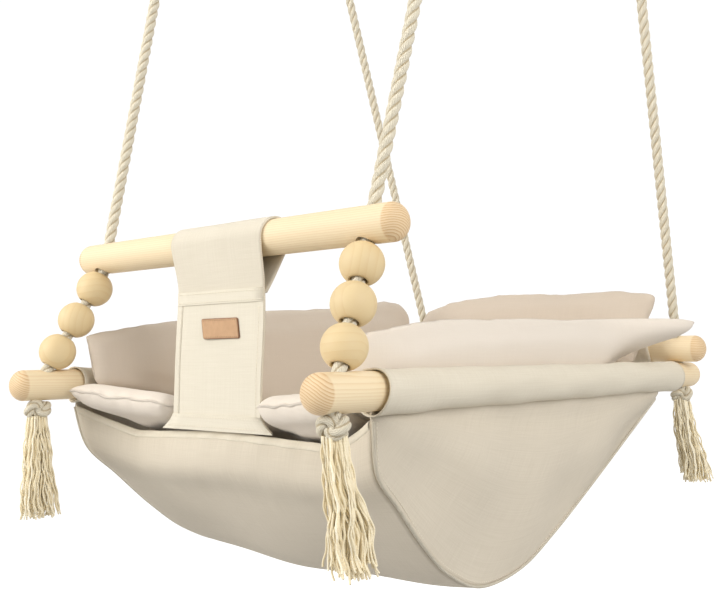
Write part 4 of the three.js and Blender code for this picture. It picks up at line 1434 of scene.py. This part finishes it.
dark_thread = thread_material("brown_thread", 0.7, srgb(104, 68, 42), srgb(150, 104, 68))
label_rows = [[label_point(x, z, LABEL_THICK - 0.0001) for x in spread(-LABEL_ROW_HALF, LABEL_ROW_HALF, 30)]
              for z in (-LABEL_ROW_DROP, LABEL_ROW_DROP)]
bar_blend(add_piece("label_stitches", stitch_row(label_rows, dark_thread, 0.0023, 0.0008, 0.00028), None,
                    "leather"))


# ---- Loose pads -----------------------------------------------------------------------------------
# Fibre-filled cushions of soft cotton, each of two plies sewn together at their edges. Each is cut flat,
# blown up by its filling, and then bent into the seat: one to sit on, one at each side, one behind.

VOXEL = 0.0052
RIM_REACH = 0.6 * VOXEL
CUT_THICK = 0.009
SIM_FRAMES = 20
FILL_PRESSURE = 4.0
CLOTH_SLACK = 0.03
MOST_SHIFT = 0.022
KEPT_SHIFT = (0.3, 0.3, 1)
MOST_RELIEF = 0.006
RELIEF_SHARE = 0.6
FLAT_EDGE = 0.02
EDGE_ROUND = 0.045
EDGE_HALF = 0.0016
SEAM_STEP = 0.005
PUCKER = 0.0011
PUCKER_PITCH = 0.021
PUCKER_REACH = 0.016

pad_pale = woven_material("pale_cotton", srgb(240, 230, 217), srgb(214, 201, 185), Threads_Per_Metre=1900.0,
                          Slub=0.16, Cloud=0.08)
pad_greige = woven_material("greige_cotton", srgb(215, 201, 184), srgb(186, 170, 152),
                            Threads_Per_Metre=1900.0, Slub=0.16, Cloud=0.08)


def flat_pillow(outline):
    """The uninflated cushion: its outline as a thin slab, remeshed into even faces."""
    mesh = bpy.data.meshes.new("pillow")
    build = bmesh.new()
    base = [build.verts.new((a, b, -CUT_THICK / 2)) for a, b in outline]
    face = build.faces.new(base)
    moved = bmesh.ops.extrude_face_region(build, geom=[face])
    bmesh.ops.translate(build, vec=(0, 0, CUT_THICK),
                        verts=[e for e in moved["geom"] if isinstance(e, bmesh.types.BMVert)])
    bmesh.ops.recalc_face_normals(build, faces=build.faces)
    build.to_mesh(mesh)
    build.free()
    piece = add_piece("pillow", mesh)
    remesh = piece.modifiers.new("even_faces", "REMESH")
    remesh.mode = "VOXEL"
    remesh.voxel_size = VOXEL
    return evaluated_mesh(piece)


def blown_up(mesh):
    """The cushion's points after cloth pressure has filled it, in the order of the flat mesh."""
    piece = add_piece("filling", mesh.copy())
    cloth = piece.modifiers.new("filling", "CLOTH")
    cloth.settings.use_pressure = True
    cloth.settings.uniform_pressure_force = FILL_PRESSURE
    cloth.settings.shrink_min = -CLOTH_SLACK
    cloth.settings.mass = 0.25
    cloth.settings.bending_stiffness = 0.6
    cloth.settings.effector_weights.gravity = 0
    cloth.settings.quality = 5
    cloth.point_cache.frame_start = 1
    cloth.point_cache.frame_end = SIM_FRAMES
    for step in range(1, SIM_FRAMES + 1):
        scene.frame_set(step)
    made = evaluated_mesh(piece)
    scene.frame_set(1)
    return np.array([v.co for v in made.vertices])


def nearest_on(points, outline):
    """The nearest place on a closed outline for each point."""
    corners = np.array(outline)
    best = np.full(len(points), 1e9)
    places = points.copy()
    for a, b in zip(corners, np.roll(corners, -1, axis=0)):
        t = np.clip(((points - a) @ (b - a)) / ((b - a) @ (b - a)), 0, 1)
        spots = a + t[:, None] * (b - a)
        reach = np.linalg.norm(points - spots, axis=1)
        places[reach < best] = spots[reach < best]
        best = np.minimum(best, reach)
    return places


def seam_line(mesh, outline):
    """The line of a cushion's seam, found on its finished mesh by the outline that it was cut to."""
    flat_places = KDTree(len(mesh.loops))
    for loop, place in zip(mesh.loops, mesh.uv_layers["UVMap"].uv):
        flat_places.insert((place.vector.x, place.vector.y, 0), loop.vertex_index)
    flat_places.balance()
    seam = []
    for a, b in zip(outline, outline[1:] + outline[:1]):
        count = max(2, round(math.dist(a, b) / SEAM_STEP))
        for k in range(count):
            spot = (a[0] + (b[0] - a[0]) * k / count, a[1] + (b[1] - a[1]) * k / count, 0)
            near = {i for _, i, _ in flat_places.find_n(spot, 10)}
            seam.append(sum((mesh.vertices[i].co for i in near), Vector()) / len(near))
    return [(seam[k - 1] + 2 * seam[k] + seam[(k + 1) % len(seam)]) / 4 for k in range(len(seam))]


def set_points(mesh, points):
    mesh.vertices.foreach_set("co", np.array(points, np.float32).ravel())
    mesh.update()


def cushion(name, outline, half_thick, placing, material, body, slot, node, fill, seam_radius):
    """Makes a cushion from its flat outline. placing(a, b, h) bends it into the seat."""
    mesh = flat_pillow(outline)
    rest = np.array([v.co for v in mesh.vertices])
    on_edge = nearest_on(rest[:, :2], outline)
    inside = np.linalg.norm(rest[:, :2] - on_edge, axis=1)
    rim_points = inside < RIM_REACH
    rest[rim_points, :2] = on_edge[rim_points]
    inside[rim_points] = 0
    set_points(mesh, rest)
    ply = np.sign(rest[:, 2])
    filled, relief = rest, np.zeros(len(rest))
    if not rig.quick():
        shift = blown_up(mesh) - rest
        reach = np.linalg.norm(shift, axis=1, keepdims=True)
        filled = rest + shift * np.minimum(1, MOST_SHIFT / np.maximum(reach, 1e-9)) * KEPT_SHIFT
        even = ply * np.abs(np.median(filled[:, 2][ply > 0]))
        relief = RELIEF_SHARE * np.clip(filled[:, 2] - even, -MOST_RELIEF, MOST_RELIEF)
    dome = np.sqrt(np.clip(inside / EDGE_ROUND, 0, 1))
    puckers = np.sin((rest[:, 0] - rest[:, 1]) * math.tau / PUCKER_PITCH) * np.exp(-inside / PUCKER_REACH)
    height = (ply * (EDGE_HALF + (half_thick - EDGE_HALF) * dome * (2 - dome))
              + relief * np.clip(inside / FLAT_EDGE, 0, 1) + PUCKER * puckers)
    set_points(mesh, [placing(a, b, h) for (a, b), h in zip(filled[:, :2], height)])
    shape = bmesh.new()
    shape.from_mesh(mesh)
    if shape.calc_volume(signed=True) < 0:
        bmesh.ops.reverse_faces(shape, faces=shape.faces)
        shape.to_mesh(mesh)
    shape.free()
    corner_points = [loop.vertex_index for loop in mesh.loops]
    flat = rest[corner_points, :2].astype(np.float32)
    mesh.uv_layers.new(name="UVMap").data.foreach_set("uv", flat.ravel())
    mesh.shade_smooth()
    piece = add_piece(name, mesh)
    piece.modifiers.new("soften", "SMOOTH").iterations = 4
    fine = piece.modifiers.new("fine", "SUBSURF")
    fine.levels = fine.render_levels = 1
    made = evaluated_mesh(piece)
    made.materials.clear()
    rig.padded(add_piece(name, made, body, slot, [node], material), fill=fill)
    seam = sewn_cord(seam_line(made, outline), True, seam_radius, 8, material)
    add_piece(f"{name}_seam", seam, body, slot)


# The seat pad lies in the seat and dips with it. Its front corners stick out, and its front edge stands
# back behind the strap.
SEAT_PAD_LINE = [(-0.022, -0.134), (0.060, -0.160), (0.150, -0.190), (0.250, -0.207), (0.325, -0.195),
                 (0.392, -0.155)]
REAR_THINNING = 0.35
seat_line = smooth_line(SEAT_PAD_LINE, 200)
seat_steps = [0.0]
for a, b in zip(seat_line, seat_line[1:]):
    seat_steps.append(seat_steps[-1] + (b - a).length)
seat_long = seat_steps[-1]


def seat_place(a, b, h):
    reach = min(max(b, 0.0), seat_long)
    i = min(max(int(np.searchsorted(seat_steps, reach, side="right")) - 1, 0), len(seat_line) - 2)
    y, z = seat_line[i].lerp(seat_line[i + 1], (reach - seat_steps[i]) / (seat_steps[i + 1] - seat_steps[i]))
    way = towards(seat_line[i], seat_line[i + 1])
    past = b - reach
    up = h * (1 - REAR_THINNING * reach / seat_long)
    return BAR + Vector((a, y + way[0] * past - way[1] * up, z + way[1] * past + way[0] * up))


SEAT_PAD_OUTLINE = [(-0.181, -0.022), (-0.124, 0.002), (-0.078, 0.012), (-0.066, 0.040), (0.046, 0.040),
                    (0.058, 0.010), (0.110, 0.002), (0.168, -0.012), (0.160, 0.060), (0.156, 0.220),
                    (0.156, 0.400), (0.150, seat_long), (-0.150, seat_long), (-0.156, 0.400),
                    (-0.156, 0.220), (-0.160, 0.060)]
cushion("seat_cushion", SEAT_PAD_OUTLINE, 0.0185, seat_place, pad_pale, "seat", "pad_pale", "seat_pad",
        fill=0.6, seam_radius=0.0013)

# The side pads stand on the seat pad inside the rails and lean outwards at the top.
SIDE_PAD_FOOT = [(0.446, -0.092), (0.400, -0.126), (0.330, -0.170), (0.250, -0.183), (0.150, -0.167),
                 (0.060, -0.145), (-0.020, -0.126)]
LEFT_HEAD = [(-0.027, -0.076), (0.082, -0.053), (0.207, -0.036), (0.299, -0.030), (0.427, -0.020),
             (0.456, -0.040)]
RIGHT_HEAD = [(-0.008, -0.082), (0.082, -0.064), (0.207, -0.056), (0.299, -0.054), (0.427, -0.052),
              (0.492, -0.055)]
SIDE_INSET = RAIL_RADIUS + 0.0215
SIDE_LEAN = 0.2
SIDE_LEAN_FROM = -0.120
EAR_FLOP = 0.062


def side_place(sign):
    def placing(a, b, h):
        ear = EAR_FLOP * smoothstep(a, 0.37, 0.478) * smoothstep(b, -0.104, -0.066) if sign > 0 else 0.0
        x = rail_x(a) - SIDE_INSET + SIDE_LEAN * (b - SIDE_LEAN_FROM) + h + ear
        return BAR + Vector((sign * x, a, b))
    return placing


def closed_outline(head, foot):
    return [tuple(p) for p in smooth_line(head, 14)] + [tuple(p) for p in smooth_line(foot, 14)]


for side, sign, head, material, slot in (("left", -1, LEFT_HEAD, pad_greige, "pad_greige"),
                                         ("right", 1, RIGHT_HEAD, pad_pale, "pad_pale")):
    cushion(f"{side}_side_cushion", closed_outline(head, SIDE_PAD_FOOT)[::-1], 0.0165, side_place(sign),
            material, f"side_pad_{side}", slot, f"side_pad_{side}", fill=0.5, seam_radius=0.0008)

# The back pad leans against the back bar and its sleeve.
BACK_PAD_FOOT = Vector((0.477, -0.103))
BACK_PAD_HEAD = Vector((0.503, -0.013))
back_lean = (BACK_PAD_HEAD - BACK_PAD_FOOT).normalized()
back_height = (BACK_PAD_HEAD - BACK_PAD_FOOT).length


def back_place(a, b, h):
    spot = BACK_PAD_FOOT + back_lean * b
    return BAR + Vector((a, spot.x - back_lean.y * h, spot.y + back_lean.x * h))


BACK_PAD_OUTLINE = [(-0.152, 0.0), (0.152, 0.0), (0.160, 0.030), (0.166, 0.060),
                    (0.172, back_height - 0.012), (0.120, back_height - 0.003), (0.040, back_height),
                    (-0.050, back_height), (-0.120, back_height - 0.007), (-0.156, back_height - 0.020),
                    (-0.170, 0.050), (-0.160, 0.030)]
cushion("back_cushion", BACK_PAD_OUTLINE, 0.0100, back_place, pad_greige, "back_pad", "pad_greige",
        "back_pad", fill=0.45, seam_radius=0.0008)

with open("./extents.json", "w") as size_file:
    json.dump({"cad": cad_box, "visual": [list(corner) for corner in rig.bounds()]}, size_file)
